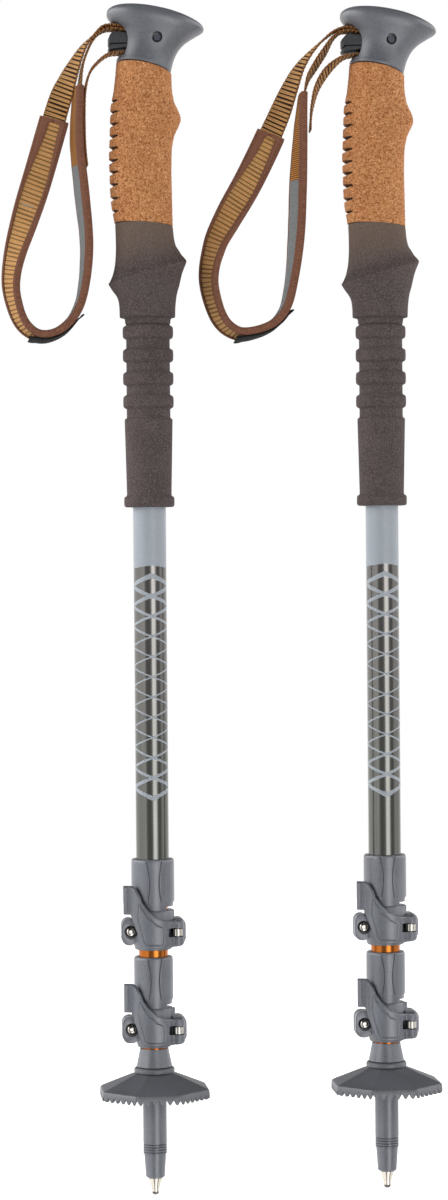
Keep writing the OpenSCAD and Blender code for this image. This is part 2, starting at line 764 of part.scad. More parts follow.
left() head_cap();  // left_head_cap
left() strap_wedge();  // left_strap_wedge
left() strap_pin();  // left_strap_pin
left() cork_grip();  // left_cork_grip
left() foam_grip();  // left_foam_grip
left() upper_shaft();  // left_upper_shaft
left() middle_shaft();  // left_middle_shaft
left() lower_shaft();  // left_lower_shaft
left() middle_guide_bush();  // left_middle_guide_bush
left() lower_guide_bush();  // left_lower_guide_bush
left() ferrule();  // left_ferrule
left() tip_holder();  // left_tip_holder
left() carbide_tip();  // left_carbide_tip
left() basket();  // left_basket
left() strap_webbing_root(left_path);  // left_strap_webbing_root
left() strap_webbing_loop(left_path);  // left_strap_webbing_loop
left() strap_pad(left_path);  // left_strap_pad
left() strap_patch(left_path);  // left_strap_patch
left() at_upper_lock() clamp(upper_shaft_r, middle_shaft_r);  // left_upper_clamp
left() at_upper_lock() lever(middle_shaft_r);  // left_upper_lever
left() at_upper_lock() cam_pin();  // left_upper_cam_pin
left() at_upper_lock() cam_bolt();  // left_upper_cam_bolt
left() at_upper_lock() tension_screw();  // left_upper_tension_screw
left() at_upper_lock() clamp_nuts();  // left_upper_nuts
left() at_lower_lock() clamp(middle_shaft_r, lower_shaft_r);  // left_lower_clamp
left() at_lower_lock() lever(lower_shaft_r);  // left_lower_lever
left() at_lower_lock() cam_pin();  // left_lower_cam_pin
left() at_lower_lock() cam_bolt();  // left_lower_cam_bolt
left() at_lower_lock() tension_screw();  // left_lower_tension_screw
left() at_lower_lock() clamp_nuts();  // left_lower_nuts

right() head_cap();  // right_head_cap
right() strap_wedge();  // right_strap_wedge
right() strap_pin();  // right_strap_pin
right() cork_grip();  // right_cork_grip
right() foam_grip();  // right_foam_grip
right() upper_shaft();  // right_upper_shaft
right() middle_shaft();  // right_middle_shaft
right() lower_shaft();  // right_lower_shaft
right() middle_guide_bush();  // right_middle_guide_bush
right() lower_guide_bush();  // right_lower_guide_bush
right() ferrule();  // right_ferrule
right() tip_holder();  // right_tip_holder
right() carbide_tip();  // right_carbide_tip
right() basket();  // right_basket
right() strap_webbing_root(right_path);  // right_strap_webbing_root
right() strap_webbing_loop(right_path);  // right_strap_webbing_loop
right() strap_pad(right_path);  // right_strap_pad
right() strap_patch(right_path);  // right_strap_patch
right() at_upper_lock() clamp(upper_shaft_r, middle_shaft_r);  // right_upper_clamp
right() at_upper_lock() lever(middle_shaft_r);  // right_upper_lever
right() at_upper_lock() cam_pin();  // right_upper_cam_pin
right() at_upper_lock() cam_bolt();  // right_upper_cam_bolt
right() at_upper_lock() tension_screw();  // right_upper_tension_screw
right() at_upper_lock() clamp_nuts();  // right_upper_nuts
right() at_lower_lock() clamp(middle_shaft_r, lower_shaft_r);  // right_lower_clamp
right() at_lower_lock() lever(lower_shaft_r);  // right_lower_lever
right() at_lower_lock() cam_pin();  // right_lower_cam_pin
right() at_lower_lock() cam_bolt();  // right_lower_cam_bolt
right() at_lower_lock() tension_screw();  // right_lower_tension_screw
right() at_lower_lock() clamp_nuts();  // right_lower_nuts
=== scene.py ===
"""Looks of the trekking poles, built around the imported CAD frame.

Lengths in the piece builders are in millimetres, in a pole's own frame: X = 0 and Y = 0 on the shaft's axis,
Z = 0 at the tip, the strap towards -X and the levers towards -Y. place() turns them into metres in the row frame.
"""

import math

import bmesh
import bpy
import numpy as np
from mathutils import Matrix, Vector


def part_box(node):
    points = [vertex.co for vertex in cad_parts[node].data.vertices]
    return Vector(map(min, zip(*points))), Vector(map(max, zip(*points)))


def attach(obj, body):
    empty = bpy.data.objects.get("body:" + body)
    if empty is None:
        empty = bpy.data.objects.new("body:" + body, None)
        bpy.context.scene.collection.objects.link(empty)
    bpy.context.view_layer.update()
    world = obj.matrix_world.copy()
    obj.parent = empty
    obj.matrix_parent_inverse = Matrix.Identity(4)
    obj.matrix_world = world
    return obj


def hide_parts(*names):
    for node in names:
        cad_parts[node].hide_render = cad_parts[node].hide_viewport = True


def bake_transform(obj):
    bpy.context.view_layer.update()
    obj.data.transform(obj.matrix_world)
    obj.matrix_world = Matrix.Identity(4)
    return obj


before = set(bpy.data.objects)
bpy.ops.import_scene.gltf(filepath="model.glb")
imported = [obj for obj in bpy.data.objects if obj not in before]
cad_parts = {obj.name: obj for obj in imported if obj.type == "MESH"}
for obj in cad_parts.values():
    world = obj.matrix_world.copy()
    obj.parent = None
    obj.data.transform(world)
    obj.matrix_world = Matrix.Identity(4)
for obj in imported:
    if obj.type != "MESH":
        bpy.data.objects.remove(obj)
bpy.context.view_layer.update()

MM = 0.001
SIDES = ("left", "right")

# ------------------------------------------------------------------ places, read from the CAD frame


def node_box(name):
    """Lowest and highest corners of a CAD node, in millimetres."""
    low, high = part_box(name)
    return np.array(low) / MM, np.array(high) / MM


AXIS_X = {side: float(np.mean([c[0] for c in node_box(side + "_lower_shaft")])) for side in SIDES}
HEAD_TOP = float(node_box("left_head_cap")[1][2])
CORK_LOW = float(node_box("left_cork_grip")[0][2]) - HEAD_TOP
FOAM_LOW, FOAM_TOP = (float(c[2]) - HEAD_TOP for c in node_box("left_foam_grip"))
SHAFT_R = {
    piece: float(np.ptp([c[0] for c in node_box(f"left_{piece}_shaft")])) / 2
    for piece in ("upper", "middle", "lower")
}
LOCK_Z = {lock: float(np.mean([c[2] for c in node_box(f"left_{lock}_cam_bolt")])) for lock in ("upper", "lower")}
BASKET_HALF = float(np.ptp([c[0] for c in node_box("left_basket")])) / 2
BASKET_LOW, BASKET_TOP = (float(c[2]) for c in node_box("left_basket"))

# ------------------------------------------------------------------ mesh helpers


def catmull(rows, per_span):
    """Smooth curve through rows of numbers, with per_span steps between each two."""
    p = np.array(rows, float)
    out = []
    for i in range(len(p) - 1):
        a, b, c, d = p[max(i - 1, 0)], p[i], p[i + 1], p[min(i + 2, len(p) - 1)]
        for t in np.arange(per_span) / per_span:
            out.append(
                0.5 * (2 * b + (c - a) * t + (2 * a - 5 * b + 4 * c - d) * t**2 + (3 * b - a - 3 * c + d) * t**3)
            )
    out.append(p[-1])
    return np.array(out)


def smoothstep(x, low, high):
    t = np.clip((np.asarray(x, float) - low) / (high - low), 0, 1)
    return t * t * (3 - 2 * t)


def new_object(name, mesh):
    obj = bpy.data.objects.new(name, mesh)
    bpy.context.scene.collection.objects.link(obj)
    return obj


def mesh_object(name, verts, faces, sharp=40):
    """Object from vertices in millimetres. Edges bent by more than sharp degrees stay crisp."""
    mesh = bpy.data.meshes.new(name)
    mesh.from_pydata([tuple(v) for v in np.asarray(verts, float)], [], [tuple(int(i) for i in f) for f in faces])
    mesh.validate()
    shade(mesh, sharp)
    return new_object(name, mesh)


def shade(mesh, sharp):
    mesh.polygons.foreach_set("use_smooth", [True] * len(mesh.polygons))
    if sharp:
        mesh.set_sharp_from_angle(angle=math.radians(sharp))
    mesh.update()


def loft(name, rings, sharp=40, closed=False):
    """Skin over rings of points, capped at both ends, or closed where the last ring joins the first."""
    rings = np.asarray(rings, float)
    count, points = rings.shape[:2]
    faces = []
    for k in range(count if closed else count - 1):
        here, there = k * points, (k + 1) % count * points
        for i in range(points):
            j = (i + 1) % points
            faces.append((here + i, here + j, there + j, there + i))
    if not closed:
        last = (count - 1) * points
        faces += [tuple(reversed(range(points))), tuple(range(last, last + points))]
    return mesh_object(name, rings.reshape(-1, 3), faces, sharp)


def apply_modifiers(obj, sharp=40):
    depsgraph = bpy.context.evaluated_depsgraph_get()
    mesh = bpy.data.meshes.new_from_object(obj.evaluated_get(depsgraph))
    obj.modifiers.clear()
    obj.data = mesh
    shade(mesh, sharp)
    return obj


def boolean(obj, cutters, operation="DIFFERENCE", sharp=40):
    """Cuts each cutter from obj, or adds it, and removes the cutters."""
    for cutter in cutters:
        modifier = obj.modifiers.new("cut", "BOOLEAN")
        modifier.operation = operation
        modifier.object = cutter
        modifier.solver = "EXACT"
    apply_modifiers(obj, sharp)
    for cutter in cutters:
        bpy.data.objects.remove(cutter)
    return obj


def bevel(obj, width, segments=2, angle=32, sharp=40):
    modifier = obj.modifiers.new("bevel", "BEVEL")
    modifier.width = width
    modifier.segments = segments
    modifier.limit_method = "ANGLE"
    modifier.angle_limit = math.radians(angle)
    return apply_modifiers(obj, sharp)


def prism(name, outline, low, high, axis="y"):
    """Solid from an outline of [a, b] points, pushed from low to high along an axis."""
    count = len(outline)
    verts = []
    for level in (low, high):
        for a, b in outline:
            verts.append((a, level, b) if axis == "y" else (a, b, level))
    faces = [(i, (i + 1) % count, count + (i + 1) % count, count + i) for i in range(count)]
    faces += [tuple(reversed(range(count))), tuple(range(count, 2 * count))]
    obj = mesh_object(name, verts, faces)
    fix_normals(obj)
    return obj


def fix_normals(obj):
    bm = bmesh.new()
    bm.from_mesh(obj.data)
    bmesh.ops.recalc_face_normals(bm, faces=bm.faces)
    bm.to_mesh(obj.data)
    bm.free()


def rod(name, centre, radius, low, high, axis="y", points=48):
    """Round cutter or pin along Y or Z."""
    outline = [
        (centre[0] + radius * math.cos(a), centre[1] + radius * math.sin(a))
        for a in np.linspace(0, 2 * math.pi, points, endpoint=False)
    ]
    return prism(name, outline, low, high, axis)


def lathe(name, profile, points=96, sharp=40):
    """Closed turned part from a closed profile of [radius, z]."""
    angles = np.linspace(0, 2 * math.pi, points, endpoint=False)
    rings = [[(r * math.cos(a), r * math.sin(a), z) for a in angles] for r, z in profile]
    obj = loft(name, rings, sharp, closed=True)
    fix_normals(obj)
    return obj


def attribute(obj, name, values):
    layer = obj.data.attributes.new(name, "FLOAT", "POINT")
    layer.data.foreach_set("value", np.asarray(values, np.float32).ravel())


def place(obj, side, body, material, replaced=()):
    """Moves a piece from a pole's own frame to the row frame and joins it to a body."""
    obj.data.transform(Matrix.Translation((AXIS_X[side] * MM, 0, 0)) @ Matrix.Scale(MM, 4))
    obj.data.materials.clear()
    obj.data.materials.append(material)
    if body:
        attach(obj, f"{side}_{body}")
    if replaced:
        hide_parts(*[f"{side}_{node}" for node in replaced])
    return obj


def place_pair(build, name, body, material, slot, replaced=(), **options):
    """Builds a piece once and puts a copy on each pole. material may be a dict with one for each side."""
    per_side = material if isinstance(material, dict) else {"left": material, "right": material}
    first = build(f"left_{name}", **options)
    second = new_object(f"right_{name}", first.data.copy())
    place(first, "left", body, per_side["left"], replaced)
    place(second, "right", body, per_side["right"], replaced)


# ------------------------------------------------------------------ material helpers


class Nodes:
    """The node tree of a material or a world, with short calls for the nodes that they share."""

    def __init__(self, name, kind="materials"):
        self.owner = getattr(bpy.data, kind).new(name)
        self.owner.use_nodes = True
        self.tree = self.owner.node_tree
        self.shader = self.tree.nodes.get("Principled BSDF")
        self.places = self.add("ShaderNodeTexCoord").outputs

    def add(self, kind, **settings):
        node = self.tree.nodes.new(kind)
        for key, value in settings.items():
            setattr(node, key, value)
        return node

    def link(self, source, target):
        self.tree.links.new(source, target)

    def put(self, target, value):
        if hasattr(value, "links"):
            self.link(value, target)
        else:
            target.default_value = value

    def value(self, name):
        return self.add("ShaderNodeAttribute", attribute_name=name).outputs["Fac"]

    def math(self, operation, a, b=0.0, c=0.0):
        node = self.add("ShaderNodeMath", operation=operation)
        for socket, value in zip(node.inputs, (a, b, c)):
            self.put(socket, value)
        return node.outputs[0]

    def plus(self, a, b):
        return self.math("ADD", a, b)

    def minus(self, a, b):
        return self.math("SUBTRACT", a, b)

    def times(self, a, b):
        return self.math("MULTIPLY", a, b)

    def split(self, vector=None):
        node = self.add("ShaderNodeSeparateXYZ")
        self.link(vector or self.places["Object"], node.inputs[0])
        return node.outputs

    def joined(self, *values):
        node = self.add("ShaderNodeCombineXYZ")
        for socket, value in zip(node.inputs, values):
            self.put(socket, value)
        return node.outputs[0]

    def brushed(self, squeeze):
        """The place on the object, with its height squeezed so that a noise there turns into upright streaks."""
        node = self.add("ShaderNodeMapping")
        self.link(self.places["Object"], node.inputs[0])
        node.inputs["Scale"].default_value = (1, 1, squeeze)
        return node.outputs[0]

    def between(self, value, low, high, to_low=0.0, to_high=1.0, smooth=True):
        node = self.add("ShaderNodeMapRange", interpolation_type="SMOOTHSTEP" if smooth else "LINEAR")
        for socket, v in zip(node.inputs, (value, low, high, to_low, to_high)):
            self.put(socket, v)
        return node.outputs[0]

    def noise(self, scale, detail=3.0, roughness=0.5, vector=None):
        node = self.add("ShaderNodeTexNoise")
        self.link(vector or self.places["Object"], node.inputs["Vector"])
        node.inputs["Scale"].default_value = scale
        node.inputs["Detail"].default_value = detail
        node.inputs["Roughness"].default_value = roughness
        return node.outputs["Fac"]

    def voronoi(self, scale, feature="F1", vector=None, output="Distance"):
        node = self.add("ShaderNodeTexVoronoi", feature=feature)
        self.link(vector or self.places["Object"], node.inputs["Vector"])
        node.inputs["Scale"].default_value = scale
        return node.outputs[output]

    def ramp(self, value, stops):
        node = self.add("ShaderNodeValToRGB")
        self.link(value, node.inputs["Fac"])
        ramp = node.color_ramp
        while len(ramp.elements) < len(stops):
            ramp.elements.new(0.5)
        for element, (position, colour) in zip(ramp.elements, stops):
            element.position = position
            element.color = (*colour, 1)
        return node.outputs["Color"]

    def mix(self, share, a, b):
        node = self.add("ShaderNodeMix", data_type="RGBA")
        self.put(node.inputs["Factor"], share)
        self.put(node.inputs[6], a if hasattr(a, "links") else (*a, 1))
        self.put(node.inputs[7], b if hasattr(b, "links") else (*b, 1))
        return node.outputs[2]

    def bump(self, height, distance, strength=1.0):
        node = self.add("ShaderNodeBump")
        node.inputs["Strength"].default_value = strength
        node.inputs["Distance"].default_value = distance
        self.link(height, node.inputs["Height"])
        self.link(node.outputs["Normal"], self.shader.inputs["Normal"])

    def finish(self, colour, roughness=0.5, metallic=0.0, **extra):
        inputs = self.shader.inputs
        self.put(inputs["Base Color"], colour if hasattr(colour, "links") else (*colour, 1))
        self.put(inputs["Roughness"], roughness)
        self.put(inputs["Metallic"], metallic)
        for key, value in extra.items():
            self.put(inputs[key.replace("_", " ")], value)
        return self.owner


def linear(r, g, b):
    """Scene colour from a display colour with channels of 0 to 255."""
    return tuple(((c / 255 + 0.055) / 1.055) ** 2.4 if c > 10 else c / 255 / 12.92 for c in (r, g, b))


def painted_crevice_shade(m, colour, reach, depth):
    """Painted shade: darkens a colour where surfaces stand closer than reach, in millimetres."""
    near = m.add("ShaderNodeAmbientOcclusion", samples=8)
    near.inputs["Distance"].default_value = reach * MM
    return m.mix(m.between(near.outputs["AO"], 0.25, 0.95, depth, 0.0), colour, (0.004, 0.004, 0.005))


def moulded_plastic(name, colour, roughness, shine=0.8, grain=0.00004):
    m = Nodes(name)
    broad = m.noise(60, 2)
    fine = m.noise(2600, 4, 0.6)
    lighter = tuple(min(c * 1.12, 1) for c in colour)
    darker = tuple(c * 0.9 for c in colour)
    shade_colour = m.mix(m.between(broad, 0.35, 0.65), darker, lighter)
    speckle = m.mix(m.between(fine, 0.45, 0.75, 0, 0.35), shade_colour, lighter)
    # Painted highlight: a lighter colour on sharp edges, picked out by pointiness.
    edge = m.add("ShaderNodeNewGeometry").outputs["Pointiness"]
    edge_highlighted = m.mix(m.between(edge, 0.52, 0.6, 0, 0.35), speckle, tuple(min(c * 1.5, 1) for c in colour))
    m.bump(fine, grain, 0.6)
    rough = m.between(fine, 0.3, 0.7, roughness - 0.06, roughness + 0.08)
    speckle = m.mix(m.between(m.noise(2600, 2), 0.35, 0.65, 0.0, 0.22), edge_highlighted, (0.36, 0.38, 0.42))
    return m.finish(painted_crevice_shade(m, speckle, 1.8, 0.9), rough, Specular_IOR_Level=shine)


def cork_material():
    m = Nodes("cork")
    warp = m.add("ShaderNodeVectorMath", operation="MULTIPLY_ADD")
    wobble = m.add("ShaderNodeTexNoise")
    m.link(m.places["Object"], wobble.inputs["Vector"])
    wobble.inputs["Scale"].default_value = 900
    m.link(wobble.outputs["Color"], warp.inputs[0])
    warp.inputs[1].default_value = (0.0008, 0.0008, 0.0008)
    m.link(m.places["Object"], warp.inputs[2])
    point = warp.outputs[0]
    cell = m.add("ShaderNodeSeparateColor")
    m.link(m.voronoi(1350, vector=point, output="Color"), cell.inputs[0])
    granule = m.ramp(cell.outputs[0], [
        (0.0, linear(134, 79, 43)), (0.12, linear(172, 108, 64)), (0.4, linear(201, 137, 85)),
        (0.75, linear(213, 149, 97)), (0.95, linear(223, 165, 113)), (1.0, linear(237, 184, 136)),
    ])
    seam = m.voronoi(1350, "DISTANCE_TO_EDGE", vector=point)
    jointed = m.mix(m.between(seam, 0.0, 0.1, 0.45, 0.0), granule, linear(112, 64, 36))
    pits = m.voronoi(640, vector=point)
    speckled = m.mix(m.between(pits, 0.1, 0.24, 0.75, 0.0), jointed, linear(92, 50, 28))
    cloud = m.between(m.noise(120, 3), 0.35, 0.7, 0.0, 0.22)
    toned = m.mix(cloud, speckled, linear(156, 98, 58))
    height = m.plus(seam, m.times(pits, 0.6))
    m.bump(height, 0.00022, 0.6)
    return m.finish(painted_crevice_shade(m, toned, 2.6, 0.97), 0.82, Specular_IOR_Level=0.25)


# The hand rest's ridge in the foam: its height below the foam's top on the axis, and its rise towards the front. The
# foam's material paints shade in a band just above this line.
RIDGE_DROP, RIDGE_SLOPE = 27.2, 0.28


def foam_material(side):
    m = Nodes(f"{side}_foam")
    pores = m.voronoi(1700)
    grain = m.noise(1200, 5, 0.75)
    cloud = m.noise(70, 3)
    base = m.mix(m.between(cloud, 0.3, 0.7), linear(74, 65, 64), linear(83, 74, 73))
    x, _, z = m.split()
    foam_top = HEAD_TOP + FOAM_TOP
    near_cork = m.between(z, (foam_top - 34) * MM, foam_top * MM, 0.0, 0.85)
    base = m.mix(near_cork, base, linear(114, 96, 79))
    # Painted shade: a dark band just above the hand rest's ridge, fading out over 12 mm.
    forward = m.minus(x, AXIS_X[side] * MM)
    ridge = m.plus(m.times(forward, RIDGE_SLOPE), (foam_top - RIDGE_DROP) * MM)
    above = m.minus(z, ridge)
    shade_above_ridge = m.times(m.between(above, -0.0002, 0.0003), m.between(above, 0.0, 0.012, 0.42, 0.0))
    base = m.mix(shade_above_ridge, base, linear(40, 35, 35))
    rubbed = m.mix(m.between(grain, 0.42, 0.66, 0.0, 0.7), base, linear(125, 112, 113))
    dotted = m.mix(m.between(pores, 0.1, 0.4, 0.8, 0.0), rubbed, linear(56, 49, 48))
    m.bump(m.plus(pores, grain), 0.00016, 0.8)
    return m.finish(painted_crevice_shade(m, dotted, 3.0, 0.75), 0.93, Specular_IOR_Level=0.2)


PLASTIC_GREY = linear(91, 94, 102)


UPPER_SLEEVE_TOP = float(node_box("left_upper_clamp")[1][2])
LATTICE_PITCH = 11.0
LATTICE_ROWS = 11
LATTICE_TOP = HEAD_TOP + FOAM_LOW - 37.6
LATTICE_LOW = LATTICE_TOP - LATTICE_PITCH * LATTICE_ROWS
BORDER_TOP = LATTICE_TOP + 5.7


def paint_material(side):
    """Silver-blue paint above an arrow-shaped border, metallic titanium below it, and a lattice of lines."""
    m = Nodes(f"{side}_shaft_paint")
    x, y, z = m.split()
    z = m.math("DIVIDE", z, MM)
    turn = m.math("ARCTAN2", m.minus(x, AXIS_X[side] * MM), m.times(y, -1.0))
    turn = m.math("DIVIDE", turn, 2 * math.pi)
    pitch = LATTICE_PITCH
    down = m.math("DIVIDE", m.minus(LATTICE_TOP, z), pitch)
    thick_top = m.between(z, LATTICE_TOP - 3.5 * pitch, LATTICE_TOP, 0.32, 0.95, smooth=False)
    thick_low = m.between(z, LATTICE_LOW, LATTICE_LOW + 3.5 * pitch, 0.85, 0.22, smooth=False)
    half_width = m.math("MAXIMUM", thick_top, thick_low)
    lines = []
    for way in (1, -1):
        wave = m.math("PINGPONG", m.plus(down, m.times(turn, 2.0 * way)), 0.5)
        distance = m.times(wave, pitch * 0.78)
        lines.append(m.between(m.minus(distance, half_width), -0.12, 0.12, 1.0, 0.0))
    chevron = m.times(m.math("PINGPONG", turn, 0.5), 2 * pitch)
    below_top = m.math("LESS_THAN", z, m.minus(LATTICE_TOP + pitch * 0.14, chevron))
    above_low = m.math("GREATER_THAN", z, m.plus(LATTICE_LOW - pitch * 0.14, chevron))
    lattice = m.times(m.math("MAXIMUM", *lines), m.times(below_top, above_low))
    border = m.minus(BORDER_TOP, m.times(chevron, 0.33))
    painted = m.between(m.minus(z, border), -0.25, 0.25)
    fade = m.between(z, UPPER_SLEEVE_TOP, BORDER_TOP)
    streak = m.noise(1500, 3, 0.6, vector=m.brushed(0.02))
    metal = m.mix(fade, linear(99, 100, 96), linear(109, 107, 105))
    metal = m.mix(m.between(streak, 0.3, 0.7, 0.0, 0.25), metal, linear(131, 130, 127))
    dust = m.noise(2400, 2)
    blue = m.mix(m.between(dust, 0.35, 0.65), linear(152, 159, 168), linear(166, 173, 179))
    coat = m.math("MAXIMUM", painted, lattice)
    colour = m.mix(coat, metal, blue)
    m.bump(m.plus(m.times(coat, 2.0), m.times(dust, 0.1)), 0.00003, 0.6)
    rough = m.between(coat, 0.0, 1.0, 0.17, 0.42)
    metallic = m.between(coat, 0.0, 1.0, 1.0, 0.0)
    return m.finish(colour, rough, metallic)


def anodised_material():
    m = Nodes("copper_anodised")
    streak = m.noise(1800, 3, 0.6, vector=m.brushed(0.03))
    colour = m.mix(m.between(streak, 0.3, 0.7), linear(158, 86, 30), linear(182, 108, 48))
    m.bump(streak, 0.000004, 0.5)
    return m.finish(colour, m.between(streak, 0.3, 0.7, 0.14, 0.22), 1.0)


def metal_material(name, dark, light, roughness):
    m = Nodes(name)
    scratches = m.noise(1400, 4, 0.7)
    spots = m.noise(300, 2)
    colour = m.mix(m.between(scratches, 0.35, 0.65), dark, light)
    m.bump(scratches, 0.000004, 0.4)
    rough = m.between(spots, 0.3, 0.7, roughness - 0.03, roughness + 0.05)
    return m.finish(painted_crevice_shade(m, colour, 1.2, 0.85), rough, 1.0)


def webbing_material():
    """Ribbed webbing, with painted shade in the grooves between the ribs. The rib attribute is 1 on a rib's crest;
    across runs from -1 to 1 over the width.
    """
    m = Nodes("webbing")
    rib, across, along = m.value("rib"), m.value("across"), m.value("along")
    thread = m.joined(m.times(along, 2.6), m.times(across, 7.0))
    strands = m.noise(1.3, 4, 0.65, vector=thread)
    crest = m.mix(m.between(strands, 0.32, 0.7), linear(172, 120, 66), linear(226, 178, 118))
    # Painted shade: near black where rib is low, in the grooves between the lighter crests.
    ribbed = m.mix(m.between(rib, 0.15, 0.9), linear(40, 22, 9), crest)
    rim = m.math("ABSOLUTE", across)
    braid = m.math("SINE", m.plus(m.times(along, 4.74), m.times(across, 5.0)))
    selvedge = m.mix(m.between(braid, -0.5, 0.5), linear(58, 30, 16), linear(156, 98, 52))
    edged = m.mix(m.between(rim, 0.86, 0.95, 0.0, 0.8), ribbed, selvedge)
    tacked = m.mix(m.times(m.value("tack"), 0.8), edged, linear(150, 138, 124))
    m.bump(strands, 0.0002, 0.7)
    return m.finish(painted_crevice_shade(m, tacked, 0.7, 0.5), 0.8, Specular_IOR_Level=0.2)


def pad_material():
    """Wrist pad. The zone attribute is 1 on the bound edges, 2 on the grey lining and 3 on bare ribs."""
    m = Nodes("strap_pad")
    zone, along, across = m.value("zone"), m.value("along"), m.value("across")
    weave = m.noise(3.2, 3, 0.7, vector=m.joined(along, m.times(across, 8.0)))
    twill = m.math("SINE", m.plus(m.times(along, 9.0), m.times(across, 22.0)))
    binding = m.mix(m.between(weave, 0.3, 0.7), linear(88, 54, 42), linear(142, 96, 76))
    binding = m.mix(m.between(twill, -0.4, 0.9, 0.0, 0.4), binding, linear(168, 120, 94))
    rim = m.math("ABSOLUTE", across)
    stitch = m.times(m.between(m.math("ABSOLUTE", m.minus(rim, 0.84)), 0.015, 0.05, 1.0, 0.0),
                    m.between(m.math("SINE", m.times(along, 3.1)), -0.5, 0.1))
    binding = m.mix(m.times(stitch, 0.6), binding, linear(58, 36, 32))
    lining = m.mix(m.between(m.noise(1500, 3, 0.7), 0.35, 0.65), linear(108, 112, 113), linear(140, 142, 141))
    # Bare ribs: the webbing's colour on the crests and painted shade in the grooves, drawn as stripes on a flat
    # surface.
    ribs = m.mix(m.between(m.math("SINE", m.times(along, 5.46)), -0.5, 0.7),
                 linear(92, 50, 20), linear(204, 140, 66))
    is_lining = m.math("COMPARE", zone, 2.0, 0.3)
    is_ribs = m.math("COMPARE", zone, 3.0, 0.3)
    colour = m.mix(is_ribs, m.mix(is_lining, binding, lining), ribs)
    m.bump(m.plus(weave, m.times(twill, 0.3)), 0.0002, 0.8)
    return m.finish(painted_crevice_shade(m, colour, 1.5, 0.6), 0.88, Specular_IOR_Level=0.2)


def patch_material():
    m = Nodes("strap_patch")
    grain = m.noise(1600, 4, 0.7)
    colour = m.mix(m.between(grain, 0.35, 0.65), linear(12, 12, 13), linear(30, 28, 28))
    m.bump(grain, 0.0001, 0.8)
    return m.finish(colour, 0.85, Specular_IOR_Level=0.15)


def make_materials():
    made = {
        "grey": moulded_plastic("grey_plastic", PLASTIC_GREY, 0.34),
        "head": moulded_plastic("head_plastic", linear(82, 84, 90), 0.4),
        "basket": moulded_plastic("basket_plastic", linear(78, 79, 84), 0.45),
        "dark": moulded_plastic("dark_plastic", linear(36, 35, 35), 0.6, 0.15),
        "pin": metal_material("blackened_pin", linear(52, 54, 60), linear(70, 73, 80), 0.35),
        "cork": cork_material(),
        "foam": {side: foam_material(side) for side in SIDES},
        "copper": anodised_material(),
        "steel": metal_material("bright_steel", linear(170, 166, 158), linear(214, 210, 202), 0.1),
        "nickel": metal_material("nickel", linear(206, 198, 184), linear(228, 222, 210), 0.06),
        "carbide": metal_material("carbide", linear(98, 94, 92), linear(132, 128, 124), 0.42),
        "webbing": webbing_material(),
        "pad": pad_material(),
        "patch": patch_material(),
    }
    for side in SIDES:
        made[f"{side}_paint"] = paint_material(side)
    return made


# ------------------------------------------------------------------ head, wedge and grips

ROUND = 96


def section(rear, front, half_y, z_rear, z_front, squareness=2.2, crown=0.0, bend=1.0, points=ROUND):
    """Ring of a grip. bend above 1 keeps the rear level and drops the front."""
    a = np.linspace(0, 2 * math.pi, points, endpoint=False)
    u = np.sign(np.cos(a)) * np.abs(np.cos(a)) ** (2 / squareness)
    v = np.sign(np.sin(a)) * np.abs(np.sin(a)) ** (2 / squareness)
    x = (rear + front) / 2 + u * (front - rear) / 2
    z = z_rear + (z_front - z_rear) * ((u + 1) / 2) ** bend + crown * (1 - u * u)
    return np.stack([x, v * half_y, z + HEAD_TOP], axis=1)


def filled(rows):
    """Rows for section() in full, where a row may leave out its squareness, crown and bend."""
    return [(*row, *(2.2, 0.0, 1.0)[len(row) - 5:]) for row in rows]


HEAD_REAR, HEAD_FRONT = -30.8, -37.1
HEAD_SECTIONS = [
    (-15.2, 13.1, 13.3, HEAD_REAR, HEAD_FRONT, 2.1, 0.0, 1.9),
    (-15.9, 13.8, 14.0, HEAD_REAR + 0.9, HEAD_FRONT + 0.9, 2.1, 0.0, 1.9),
    (-14.4, 14.5, 13.4, -27.2, -33.3, 2.15, 0.0, 1.7),
    (-13.1, 15.8, 12.7, -22.8, -29.0, 2.2, 0.0, 1.4),
    (-13.0, 18.3, 12.5, -17.8, -24.3, 2.2, 0.0, 1.1),
    (-14.6, 22.0, 13.4, -13.1, -20.4),
    (-18.4, 27.2, 15.3, -9.6, -17.0),
    (-20.6, 31.0, 16.9, -6.8, -14.7),
    (-21.0, 32.0, 17.5, -4.6, -12.9, 2.2, 0.5),
    (-20.3, 30.6, 17.0, -2.4, -10.4, 2.2, 1.2),
    (-17.7, 26.2, 15.0, -0.7, -8.0, 2.2, 1.7),
    (-14.0, 20.5, 11.5, 0.0, -6.3, 2.15, 1.1),
    (-6.5, 12.0, 6.0, -0.5, -4.2, 2.1, 0.4),
    (2.2, 3.2, 0.4, -1.95, -2.1, 2.0),
]
PIN_X, PIN_Z = 5.4, -18.9
MOUTH = [(-30, -29.6), (-15.9, -28.1), (9, -23.0), (10.2, -19), (9, -14.5), (-13.2, -10.6), (-19, -9.4), (-30, -7.4)]


def build_head(name):
    rows = catmull(filled(HEAD_SECTIONS), 6)
    head = loft(name, [section(*row) for row in rows])
    mouth = prism("mouth", [(x, z + HEAD_TOP) for x, z in MOUTH], -7.7, 7.7)
    pin = (PIN_X, PIN_Z + HEAD_TOP)
    bore = rod("bore", pin, 1.75, -20, 20)
    front = rod("front_recess", pin, 2.95, -20, -9.6)
    back = rod("back_recess", pin, 2.95, 9.6, 20)
    head = boolean(head, [mouth, bore, front, back])
    return bevel(head, 0.35, 2, 45)


